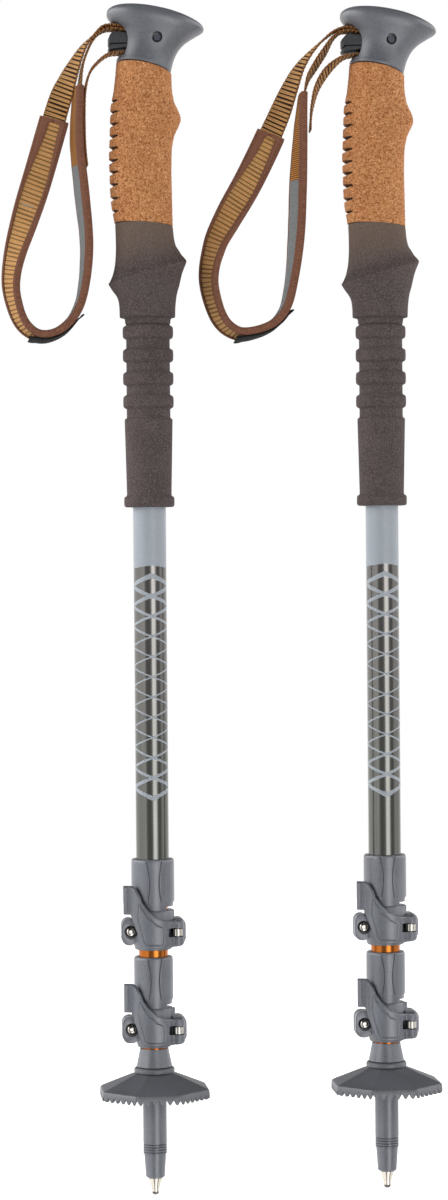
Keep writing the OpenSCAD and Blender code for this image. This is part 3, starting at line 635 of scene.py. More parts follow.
def build_wedge(name):
    low = -24.5
    outline = [(-20.0, low + 0.2), (-19.4, low - 0.3), (-2, -22.0), (-1, -21.4), (-1, -17.3), (-1.6, -17.0),
               (-17.4, -15.2), (-19.0, -15.8), (-20.0, -17.4)]
    wedge = prism(name, [(x, z + HEAD_TOP) for x, z in outline], -7.3, 7.3)
    groove = [(-30, low + 2.7), (-30, low + 1.7), (-8, low + 2.9), (-8, low + 3.5)]
    cutters = [
        prism("groove_front", [(x, z + HEAD_TOP) for x, z in groove], -8, -6.3),
        prism("groove_back", [(x, z + HEAD_TOP) for x, z in groove], 6.3, 8),
        prism("groove_rear", [(-30, low + 2.7 + HEAD_TOP), (-30, low + 1.7 + HEAD_TOP),
                              (-19.0, low + 1.9 + HEAD_TOP), (-19.0, low + 2.6 + HEAD_TOP)], -8, 8),
    ]
    return bevel(boolean(wedge, cutters), 0.35, 3)


CORK_REAR = [(-119, -17.6), (-114.4, -18.4), (-108.4, -19.4), (-101.9, -19.9), (-82.1, -20.4), (-75.6, -20.1),
             (-55.3, -19.3), (-50.9, -18.4), (-46.5, -17.5), (-38, -16.5), (-30, -15.8)]
CORK_FRONT = [(-119, 14.1), (-90.3, 13.6), (-77.8, 14.0), (-70.6, 15.4), (-64.6, 18.4), (-61.7, 19.3), (-58, 18.1),
              (-52.6, 15.4), (-45.5, 14.2), (-30, 14.0)]
NOTCH_ZS = [-112.5, -105.6, -98.3, -91.5, -85.2, -78.5, -72.0, -65.3, -58.8, -52.7]
NOTCH_HALF = 1.3
NOTCH_BOTTOM = -15.2
JOINT_DROP = 1.9


def profile_at(table, z):
    """Height-smoothed reading of a profile table of (z, reach)."""
    zs, reach = zip(*table)
    return sum(np.interp(z + shift, zs, reach) for shift in (-1.5, -0.5, 0.5, 1.5)) / 4


def build_cork(name):
    rng = np.random.default_rng(7)
    levels = set(np.arange(CORK_LOW, -34, 1.3))
    for z in NOTCH_ZS:
        levels.update(z + NOTCH_HALF * f for f in (-1.6, -1.05, -0.7, -0.35, 0, 0.35, 0.7, 1.05, 1.6))
    levels = np.array(sorted(levels))
    levels = levels[np.concatenate([[True], np.diff(levels) > 0.12])]
    top_rear, top_front = HEAD_REAR - 0.12, HEAD_FRONT - 0.12
    rings = [section(-16.8, 13.3, 13.5, CORK_LOW, CORK_LOW - JOINT_DROP, 2.1, 0.4, 1.6)]
    flat_top = -46.0
    for z in levels:
        if z > flat_top:
            break
        ring = section(profile_at(CORK_REAR, z), profile_at(CORK_FRONT, z), 14.3, z, z, 2.1)
        gap = min(NOTCH_ZS, key=lambda n: abs(n - z))
        lift = 0.22 * (ring[:, 0] + 20)
        distance = np.abs(z - lift * 0.25 - gap) / NOTCH_HALF
        limit = NOTCH_BOTTOM - np.clip(distance, 0, 2) * 4.9
        cut = np.maximum(ring[:, 0], limit)
        ring[:, 0] = np.where(ring[:, 0] < -9, cut, ring[:, 0])
        forward = np.clip((ring[:, 0] + 17) / 31, 0, 1)
        ring[:, 2] -= JOINT_DROP * forward**1.6 * (1 - smoothstep(z, CORK_LOW, CORK_LOW + 20))
        rings.append(ring)
    for t in np.linspace(0.08, 1, 14):
        z_rear = flat_top + (top_rear - flat_top) * t
        z_front = flat_top + (top_front - flat_top) * t
        rear = profile_at(CORK_REAR, z_rear)
        front = profile_at(CORK_FRONT, z_front)
        rings.append(section(rear, front, 14.3 - 0.2 * t, z_rear, z_front, 2.1, 0.0, 1 + 0.9 * t))
    last = rings[-1].copy()
    centre = last.mean(axis=0)
    rim = centre + (last - centre) * np.array([0.97, 0.97, 1.0])
    rings[-1][:, 2] -= 0.35
    rings.append(rim)
    cork = loft(name, rings, 50)
    rough = 0.06 * rng.standard_normal(len(cork.data.vertices))
    normals = np.zeros(len(cork.data.vertices) * 3, np.float32)
    cork.data.vertices.foreach_get("normal", normals)
    for vertex, normal, amount in zip(cork.data.vertices, normals.reshape(-1, 3), rough):
        vertex.co += Vector(normal) * float(amount)
    return cork


RIB_PITCH, RIB_COUNT, RIB_HEIGHT = 12.65, 4, 7.2
RIB_R, NECK_R = 13.8, 11.9
# Below this height under its top, the foam is round, and above it lies the shaped hand rest.
REST_LOW = -55


def foam_rows():
    """Sections of the foam grip from its bottom to its top, heights measured down from its top."""
    rows = []

    def ring(r, z, squareness=2.0):
        rows.append((-r, r, r, z, z, squareness))

    low = FOAM_LOW - FOAM_TOP
    for r, dz in ((12.6, 0), (13.3, 0.3), (13.7, 1.0), (13.75, 3.0), (13.7, 4.9), (13.3, 5.6), (12.4, 6.0)):
        ring(r, low + dz)
    for t in np.linspace(0.03, 1, 10):
        ring(12.15 + 0.95 * t, low + 6.0 + t * (-107.4 - 6.0 - low))
    ring(12.9, -107.0)
    ring(12.2, -106.6)
    ring(NECK_R, -106.0)
    for k in range(RIB_COUNT):
        base = -101.2 + k * RIB_PITCH
        ring(NECK_R, base - 0.4)
        for f, r in ((0.0, RIB_R - 1.4), (0.07, RIB_R - 0.5), (0.18, RIB_R - 0.1), (0.5, RIB_R),
                     (0.82, RIB_R - 0.1), (0.93, RIB_R - 0.5), (1.0, RIB_R - 1.4)):
            ring(r, base + f * RIB_HEIGHT)
        ring(NECK_R, base + RIB_HEIGHT + 0.4)
    rows += [
        (-12.3, 12.3, 12.3, -54.6, -54.6, 2.0),
        (-12.6, 12.6, 12.6, -52.6, -52.6, 2.0),
        (-13.0, 12.9, 12.9, -52.0, -52.0, 2.0),
        (-14.9, 14.7, 14.4, -51.5, -51.5, 2.05),
        (-15.3, 15.0, 14.8, -50.8, -50.8, 2.1),
        (-15.4, 15.2, 15.0, -46.5, -45.5, 2.15),
        (-15.9, 16.0, 15.3, -42.3, -39.1),
        (-17.0, 17.3, 15.9, -39.6, -34.6, 2.2),
        (-19.0, 19.0, 16.6, -36.9, -27.6, 2.2),
        (-20.7, 20.8, 17.3, -34.3, -23.0, 2.2),
        (-21.2, 21.4, 17.5, -33.4, -21.4, 2.2),
        (-21.1, 21.4, 17.4, -32.9, -20.6, 2.2),
        (-20.3, 20.6, 16.8, -31.6, -19.4, 2.2),
        (-18.8, 18.8, 15.7, -28.0, -17.4, 2.2),
        (-17.6, 17.2, 15.4, -22.4, -14.8, 2.2),
        (-17.1, 15.7, 14.6, -15.4, -12.4, 2.15),
        (-17.1, 14.7, 14.4, -8.4, -8.0, 2.1, 0.2, 1.3),
        (-17.3, 14.2, 14.35, -1.0, -1.0 - JOINT_DROP, 2.1, 0.4, 1.6),
        (-16.9, 13.8, 14.0, -0.15, -0.15 - JOINT_DROP, 2.1, 0.4, 1.6),
    ]
    return rows


def build_foam(name):
    rows = foam_rows()
    turned = [row for row in rows if row[3] <= REST_LOW]
    shaped = filled([row for row in rows if row[3] > REST_LOW])
    rings = [section(*row) for row in (*turned, *catmull(shaped, 3))]
    for ring in rings:
        ring[:, 2] += FOAM_TOP
    return loft(name, rings, 60)


# ------------------------------------------------------------------ straps
# Points are (x, z, twist), without a twist of 0: the webbing from its tail, through the head, round the wrist loop
# and in again. Round the pin, both poles are the same.

ROUND_PIN = [(-2, -24.3), (5.4, -21.6), (8.0, -18.9), (5.4, -16.2), (-2, -13.6), (-12, -12.2), (-18, -11.2)]
PATHS = {
    "left": [
        (-32.6, -88.2), (-33.6, -76), (-33.8, -60), (-33.2, -47), (-30.8, -37.4), (-26.5, -31.4), (-20, -26.7),
        (-12, -25.9), *ROUND_PIN, (-23.5, -12.0), (-28.4, -16.4, 4), (-33.8, -22.6, 14), (-38.4, -31, 28),
        (-42.4, -40, 46), (-47.9, -54.8, 72), (-58.4, -90.5, 84), (-67, -117, 58), (-73.3, -138, 34),
        (-74.9, -154, 23), (-70.7, -170.4, 16), (-64, -178.4, 10), (-56, -180.6, 6), (-46, -176.6, 2),
        (-38.2, -167, -2), (-34.2, -153, -6), (-32.4, -131, -10), (-34.6, -104, -14), (-37.2, -76, -12),
        (-36.6, -52, -8), (-35.4, -38, -3), (-33.4, -29.4), (-29.2, -19.6), (-24.6, -14.6), (-18, -13.0),
        (-4, -15.2),
    ],
    "right": [
        (-38.2, -68, 4), (-37.2, -56, 10), (-34.4, -44.5, 16), (-29.2, -35.6, 18), (-23, -29.6, 10),
        (-18, -26.9, 2), (-12, -25.9), (-7, -25.2), *ROUND_PIN, (-23.5, -12.6), (-29, -16.4), (-37, -24, 8),
        (-44, -33.2, 22), (-50, -46, 42), (-57, -63, 64), (-71, -92.4, 82), (-84.6, -116, 58), (-92, -131, 38),
        (-95.4, -150, 24), (-90, -170, 17), (-80.6, -178.8, 11), (-70, -178.6, 6), (-59, -173.8, 2),
        (-52, -164.6, -3), (-48.4, -149, -8), (-45.8, -126, -16), (-44.6, -100, -18), (-43.4, -76, -12),
        (-41.8, -54), (-39.8, -41, 10), (-36, -33.6, 16), (-30, -24.4, 16), (-24.4, -16, 6), (-18, -13.0),
        (-4, -15.2),
    ],
}
PAD_FIRST, PAD_LAST = 20.24, 34.5
LINING_LAST = {"left": 32.6, "right": 32.2}
PATCH_FIRST, PATCH_LAST = 26.1, 29.0
TACK_AT = 21.68
PATH_STEPS = 24
WEB_WIDTH, WEB_THICK = 13.0, 1.4
PAD_WIDTH = 16.4
RIB_STEP = 2.4


class Path:
    """A strap's centre line, with its frame at any distance along it."""

    def __init__(self, points):
        self.rows = catmull([(*point, 0)[:3] for point in points], PATH_STEPS)
        steps = np.linalg.norm(np.diff(self.rows[:, :2], axis=0), axis=1)
        self.lengths = np.concatenate([[0], np.cumsum(steps)])

    def distance(self, control):
        """Distance along the path at a control point's number, which may have a fraction."""
        return float(np.interp(control * PATH_STEPS, np.arange(len(self.lengths)), self.lengths))

    def frames(self, distances):
        d = np.asarray(distances, float)
        x, z, twist = (np.interp(d, self.lengths, self.rows[:, k]) for k in range(3))
        reach = 0.8
        ahead = np.minimum(d + reach, self.lengths[-1])
        behind = np.maximum(d - reach, 0)
        tx = np.interp(ahead, self.lengths, self.rows[:, 0]) - np.interp(behind, self.lengths, self.rows[:, 0])
        tz = np.interp(ahead, self.lengths, self.rows[:, 1]) - np.interp(behind, self.lengths, self.rows[:, 1])
        size = np.hypot(tx, tz)
        tx, tz = tx / size, tz / size
        out = np.stack([tz, np.zeros_like(tx), -tx], axis=1)
        y = np.tile([0.0, 1.0, 0.0], (len(d), 1))
        c, s = np.cos(np.radians(twist))[:, None], np.sin(np.radians(twist))[:, None]
        centre = np.stack([x, np.zeros_like(x), z + HEAD_TOP], axis=1)
        return centre, c * y + s * out, c * out - s * y


def swept(name, path, distances, outline, sharp=0):
    """Sweeps an outline, given as (across, out) in millimetres for each distance, along a path."""
    centre, width, normal = path.frames(distances)
    outline = np.asarray(outline, float)
    if outline.ndim == 2:
        outline = np.tile(outline, (len(distances), 1, 1))
    rings = centre[:, None] + outline[..., :1] * width[:, None] + outline[..., 1:] * normal[:, None]
    obj = loft(name, rings[:, ::-1], sharp)
    fix_normals(obj)
    return obj, outline[:, ::-1]


def rib_height(d, u):
    """Height of the webbing's ribs at distances d and places u across, 0 in a groove and 1 on a crest.

    Between each two deep grooves lies a shallower one that fades out over the webbing's width.
    """
    slanted = d[:, None] + 0.45 * u[None, :] + 0.16 * np.sin(d * 1.7 + 2.2 * np.sin(d * 0.31))[:, None]
    deep = np.abs((slanted / RIB_STEP + 0.5) % 1 - 0.5) * RIB_STEP
    fine = np.abs((slanted / RIB_STEP) % 1 - 0.5) * RIB_STEP
    fade = np.clip(0.46 + 0.24 * u[None, :], 0.1, 0.7)
    crown = 0.86 + 0.14 * np.cos(2 * math.pi * slanted / RIB_STEP * 2)
    return smoothstep(deep, 0.08, 0.72) * (1 - fade * (1 - smoothstep(fine, 0.04, 0.34))) * crown


def build_webbing(name, path, first, last, tight):
    """Ribbed webbing between two distances. tight holds distances inside the pad, where the ribs lie flat."""
    d = np.arange(first, last, 0.19)
    half = WEB_WIDTH / 2
    across = np.array([-1, -0.97, -0.9, -0.7, -0.4, -0.1, 0.2, 0.5, 0.75, 0.9, 0.97, 1.0])
    body = np.array([0.5, 0.8, 0.95, 1, 1, 1, 1, 1, 1, 0.95, 0.8, 0.5])
    u = np.concatenate([across, across[::-1]])
    share = np.concatenate([body, -body[::-1]])
    rib = rib_height(d, u)
    inside = smoothstep(d, tight[0] - 2, tight[0] + 2) * (1 - smoothstep(d, tight[1] - 2, tight[1] + 2))
    fullness = (0.42 + 0.3 * rib) * (1 - 0.1 * inside[:, None])
    tips = np.minimum(np.clip((d - first) / 0.8, 0.2, 1), np.clip((last - d) / 0.8, 0.2, 1))
    outline = np.stack([
        half * u[None, :] * (1 + 0.02 * (rib - 0.6)),
        share[None, :] * fullness * tips[:, None],
    ], axis=2)
    obj, used = swept(name, path, d, outline)
    tack = (np.abs(d - path.distance(TACK_AT)) < 0.55)[:, None] & (np.abs(u - 0.05) < 0.56)[None, :]
    # The rib attribute also sets the painted shade in the grooves; inside the pad it is lifted, where the ribs lie
    # flat.
    attribute(obj, "rib", (rib + 0.45 * inside[:, None] * (0.9 - rib))[:, ::-1])
    attribute(obj, "tack", (tack & name.startswith("left"))[:, ::-1])
    attribute(obj, "across", used[..., 0] / half)
    attribute(obj, "along", np.repeat(d[:, None], len(u), axis=1))
    return obj


def build_pad(name, path, lining_control):
    """Padded wrist band: a soft core behind the webbing, with bound edges that fold over the webbing's edges."""
    first, last = path.distance(PAD_FIRST), path.distance(PAD_LAST)
    lining_last = path.distance(lining_control)
    d = np.arange(first, last, 0.7)
    half = PAD_WIDTH / 2
    face, fold = 0.85, 1.3
    start = 1 - smoothstep(d, first + 1.6, first + 2.6)
    narrow = smoothstep(d, first + 3, first + 42)
    rear_lip = (1 - start) * (4.2 - 1.6 * narrow) + start * (half - 0.05)
    front_lip = (1 - start) * (6.0 - 3.6 * narrow) + start * (half - 0.05)

    def side(lip, sign):
        """Points of one bound edge, from the lip on the webbing round to the lining."""
        zero = np.zeros_like(lip)
        rows = [(lip, face), (lip - 0.25, face + 0.3), (lip * 0.55, fold + 0.12), (zero + 0.9, fold + 0.06),
                (zero + 0.2, 0.8), (zero, -0.4), (zero + 0.1, -1.7), (zero + 0.8, -2.6), (zero + 2.0, -2.95),
                (zero + 2.5, -2.8), (zero + 2.9, -2.95)]
        return [np.stack([sign * (half - a), zero + b], axis=1) for a, b in rows]

    under = [(half - 0.95, face - 0.02), (half - 1.0, -0.86), (0, -0.9), (-half + 1.0, -0.86),
             (-half + 0.95, face - 0.02)]
    one = np.ones_like(d)
    points = side(rear_lip, -1)
    points += [np.stack([one * a, one * -3.3], axis=1) for a in (-3, 0, 3)]
    points += side(front_lip, 1)[::-1]
    points += [np.stack([one * a, one * b], axis=1) for a, b in under]
    shaped = np.stack(points, axis=1)
    zone_row = np.array([1] * 10 + [2] * 5 + [1] * 15, float)
    ends = np.minimum(np.clip((d - first) / 1.4, 0.55, 1), np.clip((last - d) / 1.4, 0.55, 1))
    sway = 1 + 0.03 * np.sin(d / 5.3) + 0.02 * np.sin(d / 2.1 + 1)
    behind = shaped[..., 1] < -1.0
    shaped[..., 1] = np.where(behind, -0.88 + (shaped[..., 1] + 0.88) * (ends * sway)[:, None], shaped[..., 1])
    obj, used = swept(name, path, d, shaped, 50)
    zones = np.tile(zone_row[::-1], (len(d), 1))
    bare = (zones == 2) & (d[:, None] > lining_last)
    attribute(obj, "zone", np.where(bare, 3.0, zones))
    attribute(obj, "across", used[..., 0] / half)
    attribute(obj, "along", np.repeat(d[:, None], len(zone_row), axis=1))
    return obj


def build_patch(name, path):
    d = np.linspace(path.distance(PATCH_FIRST), path.distance(PATCH_LAST), 46)
    base = WEB_THICK / 2 + 0.85
    half = WEB_WIDTH / 2 + 0.6
    outline = np.array([
        (-half, base), (-half + 0.15, base + 0.55), (-half + 0.6, base + 0.75), (half - 0.6, base + 0.75),
        (half - 0.15, base + 0.55), (half, base), (half - 0.4, base - 0.1), (-half + 0.4, base - 0.1),
    ])
    shaped = np.tile(outline, (len(d), 1, 1))
    peel = 1.2 * smoothstep(d, d[-1] - 4, d[-1]) + 1.2 * (1 - smoothstep(d, d[0], d[0] + 4))
    shaped[..., 1] += peel[:, None]
    obj, _ = swept(name, path, d, shaped, 50)
    return obj


def add_straps(materials):
    for side in SIDES:
        path = Path(PATHS[side])
        pad = (path.distance(PAD_FIRST), path.distance(PAD_LAST))
        webbing = build_webbing(f"{side}_webbing", path, 0.0, path.lengths[-1], pad)
        place(webbing, side, None, materials["webbing"],
              ("strap_webbing_root", "strap_webbing_loop"))
        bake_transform(webbing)
        band = build_pad(f"{side}_pad", path, LINING_LAST[side])
        place(band, side, "strap", materials["pad"], ("strap_pad",))
        patch = build_patch(f"{side}_patch", path)
        place(patch, side, "strap", materials["patch"], ("strap_patch",))


# ------------------------------------------------------------------ locks

EAR_X = 12.6
CAM_PIN_Y, CAM_R, CAM_OFFSET = -9.05, 3.6, 0.4
RING_WALL, SLEEVE_WALL = 3.6, 2.7
LEVER_THICK = 2.8
RELIEF_X = 6.5


def rounded_box(name, low, high, corner, points=8):
    """Box whose edges along Y are rounded."""
    outline = []
    (x0, y0, z0), (x1, y1, z1) = low, high
    for cx, cz, start in ((x1 - corner, z1 - corner, 0), (x0 + corner, z1 - corner, 90),
                          (x0 + corner, z0 + corner, 180), (x1 - corner, z0 + corner, 270)):
        for a in np.radians(start + np.linspace(0, 90, points)):
            outline.append((cx + corner * math.cos(a), cz + corner * math.sin(a)))
    return prism(name, outline, y0, y1)


def build_clamp(name, outer_r, inner_r, centre_z):
    """Moulded clamp: a sleeve with two raised side panels above a split ring with two ears."""
    ring_r, sleeve_r = inner_r + RING_WALL, outer_r + SLEEVE_WALL
    angles = np.linspace(0, 2 * math.pi, 432, endpoint=False)
    side_x = np.abs(np.cos(angles))

    def ring(r, z, relief=0.0):
        """One ring. relief raises the side panels, whose edges curve in at mid height."""
        t = np.clip((z - 14.5) / 24.0, 0, 1)
        waist = 0.36 - 0.13 * math.sin(math.pi * t) ** 1.2
        panel = smoothstep(side_x, waist, waist + 0.03)
        groove = 0.32 * np.exp(-(((side_x - waist) / 0.016) ** 2)) * min(relief / 0.3, 1)
        radius = r + relief * panel - groove
        return np.stack([radius * np.cos(angles), radius * np.sin(angles), np.full(len(angles), z)], axis=1)

    outer = [(inner_r + 1.4, -10.0, 0), (inner_r + 2.0, -9.7, 0), (ring_r - 0.9, -7.2, 0), (ring_r - 0.25, -6.0, 0),
             (ring_r, -4.8, 0), (ring_r, 10.9, 0), (ring_r - 0.3, 11.5, 0), (sleeve_r - 0.9, 11.9, 0),
             (sleeve_r - 0.7, 12.4, 0), (sleeve_r - 0.7, 15.0, 0), (sleeve_r - 0.45, 16.0, 0.1)]
    outer += [(sleeve_r - 0.4, z, 0.4) for z in np.linspace(17, 37.9, 24)]
    outer += [(sleeve_r - 0.4, 38.4, 0.35), (sleeve_r - 0.5, 39.2, 0.25), (sleeve_r - 0.7, 39.6, 0.1),
              (sleeve_r - 1.2, 39.7, 0)]
    inner = [(outer_r + 0.5, 39.7, 0), (outer_r + 0.06, 39.3, 0), (outer_r + 0.04, 14.1, 0), (inner_r + 0.1, 14.0, 0),
             (inner_r + 0.07, -9.6, 0), (inner_r + 0.4, -10.0, 0)]
    body = loft(name, [ring(*row) for row in outer + inner], 32, closed=True)
    fix_normals(body)
    ears = []
    for side in (-1, 1):
        xs = sorted((side * (inner_r + 1.5), side * 17.5))
        ears.append(rounded_box("ear", (xs[0], -5, -7.3), (xs[1], 5, 7.3), 3.9))
    boss = rod("boss", (9.4, -3.2), 2.0, 6, 12.2, "z", 24)
    body = boolean(body, ears + [boss], "UNION", 32)
    cutters = [rod("bore", (0, 0), inner_r + 0.07, -12, 14.0, "z", 96)]
    for side in (-1, 1):
        xs = sorted((side * RELIEF_X, side * 30))
        cutters.append(prism("relief", [(xs[0], 11.6), (xs[1], 11.6), (xs[1], 13.8), (xs[0], 13.8)], -20, 20))
        xs = sorted((side * (inner_r - 1), side * 19))
        cutters.append(prism("split", [(xs[0], -12), (xs[1], -12), (xs[1], 11.6), (xs[0], 11.6)], -0.6, 0.6))
        cutters.append(rod("screw_hole", (side * EAR_X, 0), 2.05, -20, 20))
    cutters.append(rod("counterbore", (-EAR_X, 0), 3.7, -20, -2.8))
    body = boolean(body, cutters, sharp=32)
    bevel(body, 0.3, 2, 50, 40)
    body.data.transform(Matrix.Translation((0, 0, centre_z)))
    return body


LEVER_TOP = [(-16.5, 25.5), (-12.2, 25.5), (-11.0, 24.9), (-10.0, 23.8), (-8.2, 20.6), (-7, 17), (-4.6, 13.4),
             (-0.6, 9.4), (4.3, 6.8), (9.1, 6), (13.1, 6.4), (15.2, 6.4), (16.4, 5.6)]
LEVER_LOW = [(-16.5, 9.8), (-12.2, 9.7), (-11.4, 7.6), (-10.2, 4.2), (-8.2, -2.2), (-6.2, -6.3), (-4.6, -7.8),
             (-3, -8.3), (8.3, -8.3), (14.7, -7.2), (16.4, -6.0)]
PANEL = [(-9.2, 8.6), (-7.6, 2.0), (-5.6, -5.0), (-4.2, -6.2), (3.4, -6.5), (4.5, -5.6), (5.2, 1.6), (4.4, 3.1),
         (0.4, 4.6), (-4.0, 8.6), (-6.8, 13.4), (-8.4, 17.0)]


def outline_distance(points, outline):
    """Signed distance from points to a closed outline, positive inside."""
    points, outline = np.asarray(points, float), np.asarray(outline, float)
    best = np.full(len(points), 1e9)
    inside = np.zeros(len(points), bool)
    for a, b in zip(outline, np.roll(outline, -1, axis=0)):
        edge = b - a
        t = np.clip(((points - a) @ edge) / (edge @ edge), 0, 1)
        best = np.minimum(best, np.linalg.norm(points - a - t[:, None] * edge, axis=1))
        crosses = (a[1] > points[:, 1]) != (b[1] > points[:, 1])
        with np.errstate(divide="ignore", invalid="ignore"):
            at = a[0] + (points[:, 1] - a[1]) * edge[0] / edge[1]
        inside ^= crosses & (points[:, 0] < at)
    return np.where(inside, best, -best)


def lever_plan(inner_r):
    """Inner and outer points of the lever seen from above, from the flag's tip to the cam."""
    band_r = inner_r + RING_WALL + 0.4
    outer_r = band_r + LEVER_THICK
    inner_points, outer_points = [], []
    start = math.radians(-145)
    base_in = np.array([band_r * math.cos(start), band_r * math.sin(start)])
    base_out = np.array([outer_r * math.cos(start), outer_r * math.sin(start)])
    flag = np.array([-16.5, base_in[1] + 1.9])
    flag_out = flag + np.array([-0.25, -2.0])
    for t in np.linspace(0, 1, 12, endpoint=False):
        bulge = math.sin(math.pi * t) * 0.25
        inner_points.append(flag + (base_in - flag) * t + np.array([0, bulge]))
        outer_points.append(flag_out + (base_out - flag_out) * t + np.array([0, bulge]))
    for a in np.radians(np.linspace(-145, -52, 110)):
        inner_points.append(np.array([band_r * math.cos(a), band_r * math.sin(a)]))
        outer_points.append(np.array([outer_r * math.cos(a), outer_r * math.sin(a)]))
    hub = np.array([EAR_X, CAM_PIN_Y + CAM_OFFSET])
    from_x = outer_points[-1][0]
    for t in np.linspace(0.06, 1, 20):
        x = from_x + (hub[0] + CAM_R * 0.985 - from_x) * math.sin(math.pi / 2 * t)
        reach = math.sqrt(max(CAM_R**2 - (x - hub[0]) ** 2, 0.05)) if x > hub[0] - CAM_R else 0
        blend = smoothstep(x, from_x, hub[0])
        arc_in = -math.sqrt(max(band_r**2 - x * x, 0)) if x < band_r else hub[1]
        y_in = max(min(hub[1] + reach, -5.06), arc_in) if x > hub[0] - CAM_R else arc_in
        y_in = (1 - blend) * arc_in + blend * min(hub[1] + reach, -5.06)
        arc_out = -math.sqrt(max(outer_r**2 - x * x, 0)) if x < outer_r else hub[1] - reach
        y_out = (1 - blend) * arc_out + blend * (hub[1] - reach)
        inner_points.append(np.array([x, y_in]))
        outer_points.append(np.array([x, y_out]))
    return np.array(inner_points), np.array(outer_points)


def build_lever(name, inner_r, centre_z):
    inner, outer = lever_plan(inner_r)
    heights = np.concatenate([[0.0, 0.006, 0.02, 0.045], np.linspace(0.07, 0.93, 60), [0.955, 0.98, 0.994, 1.0]])
    rounding = np.minimum(np.minimum(heights, 1 - heights) * 22, 1)
    rings = []
    for p_in, p_out in zip(inner, outer):
        x = (p_in[0] + p_out[0]) / 2
        z_top = np.interp(x, *zip(*LEVER_TOP))
        z_low = np.interp(x, *zip(*LEVER_LOW))
        thick = np.linalg.norm(p_out - p_in)
        normal = (p_out - p_in) / thick
        z = z_low + (z_top - z_low) * heights
        corner = min(0.9, thick * 0.45)
        inset = corner * (1 - np.sqrt(np.clip(1 - (1 - np.minimum(
            np.minimum(z - z_low, z_top - z) / corner, 1)) ** 2, 0, 1)))
        front = np.stack([p_out[0] - normal[0] * inset, p_out[1] - normal[1] * inset, z], axis=1)
        depth = outline_distance(front[:, [0, 2]], PANEL)
        relief = 0.5 * smoothstep(depth, 0.0, 0.5) - 0.22 * np.exp(-(((depth + 0.1) / 0.3) ** 2))
        lip = 0.5 * smoothstep(-x, 14.9, 15.4)
        front[:, :2] += normal * (relief + lip * rounding)[:, None]
        back = np.stack([p_in[0] + normal[0] * inset, p_in[1] + normal[1] * inset, z], axis=1)[::-1]
        rings.append(np.concatenate([front, back[::3], back[-1:]]))
    lever = loft(name, rings, 50)
    fix_normals(lever)
    slot = rounded_box("slot", (7.4, -20, -2.4), (30, 10, 2.4), 0.5, 5)
    bore = rod("bore", (EAR_X, CAM_PIN_Y), 1.56, -20, 20, "z")
    lever = boolean(lever, [slot, bore], sharp=45)
    lever.data.transform(Matrix.Translation((0, 0, centre_z)))
    return lever


def build_tension_screw(name, centre_z):
    """Button-head screw with a hexagon socket, turned about Y."""
    profile = [(0.02, -5.05), (0.9, -5.02), (1.7, -4.85), (2.35, -4.45), (2.75, -3.9), (2.9, -3.3), (2.9, -2.85),
               (2.0, -2.83), (2.0, 8.7), (1.8, 8.9), (0.02, 8.9)]
    screw = lathe(name, profile, 64)
    screw.data.transform(Matrix.Rotation(math.radians(-90), 4, "X"))
    screw.data.transform(Matrix.Translation((-EAR_X, 0, 0)))
    socket = rod("socket", (-EAR_X, 0), 1.25, -8, -4.0, points=6)
    boolean(screw, [socket], sharp=35)
    screw.data.transform(Matrix.Translation((0, 0, centre_z)))
    return screw


def add_locks(materials):
    sizes = {"upper": (SHAFT_R["upper"], SHAFT_R["middle"]), "lower": (SHAFT_R["middle"], SHAFT_R["lower"])}
    for lock, (outer_r, inner_r) in sizes.items():
        body = "handle" if lock == "upper" else "middle"
        place_pair(build_clamp, f"{lock}_clamp_body", body, materials["grey"], "grey_plastic", (f"{lock}_clamp",),
                   outer_r=outer_r, inner_r=inner_r, centre_z=LOCK_Z[lock])
        place_pair(build_lever, f"{lock}_lever_body", f"{lock}_lever", materials["grey"], "grey_plastic",
                   (f"{lock}_lever",), inner_r=inner_r, centre_z=LOCK_Z[lock])
        place_pair(build_tension_screw, f"{lock}_screw", f"{lock}_screw", materials["steel"], "steel",
                   (f"{lock}_tension_screw",), centre_z=LOCK_Z[lock])


# ------------------------------------------------------------------ basket

BASKET_SIDES = 8
TEETH = 6
TOOTH_POINTS = 8


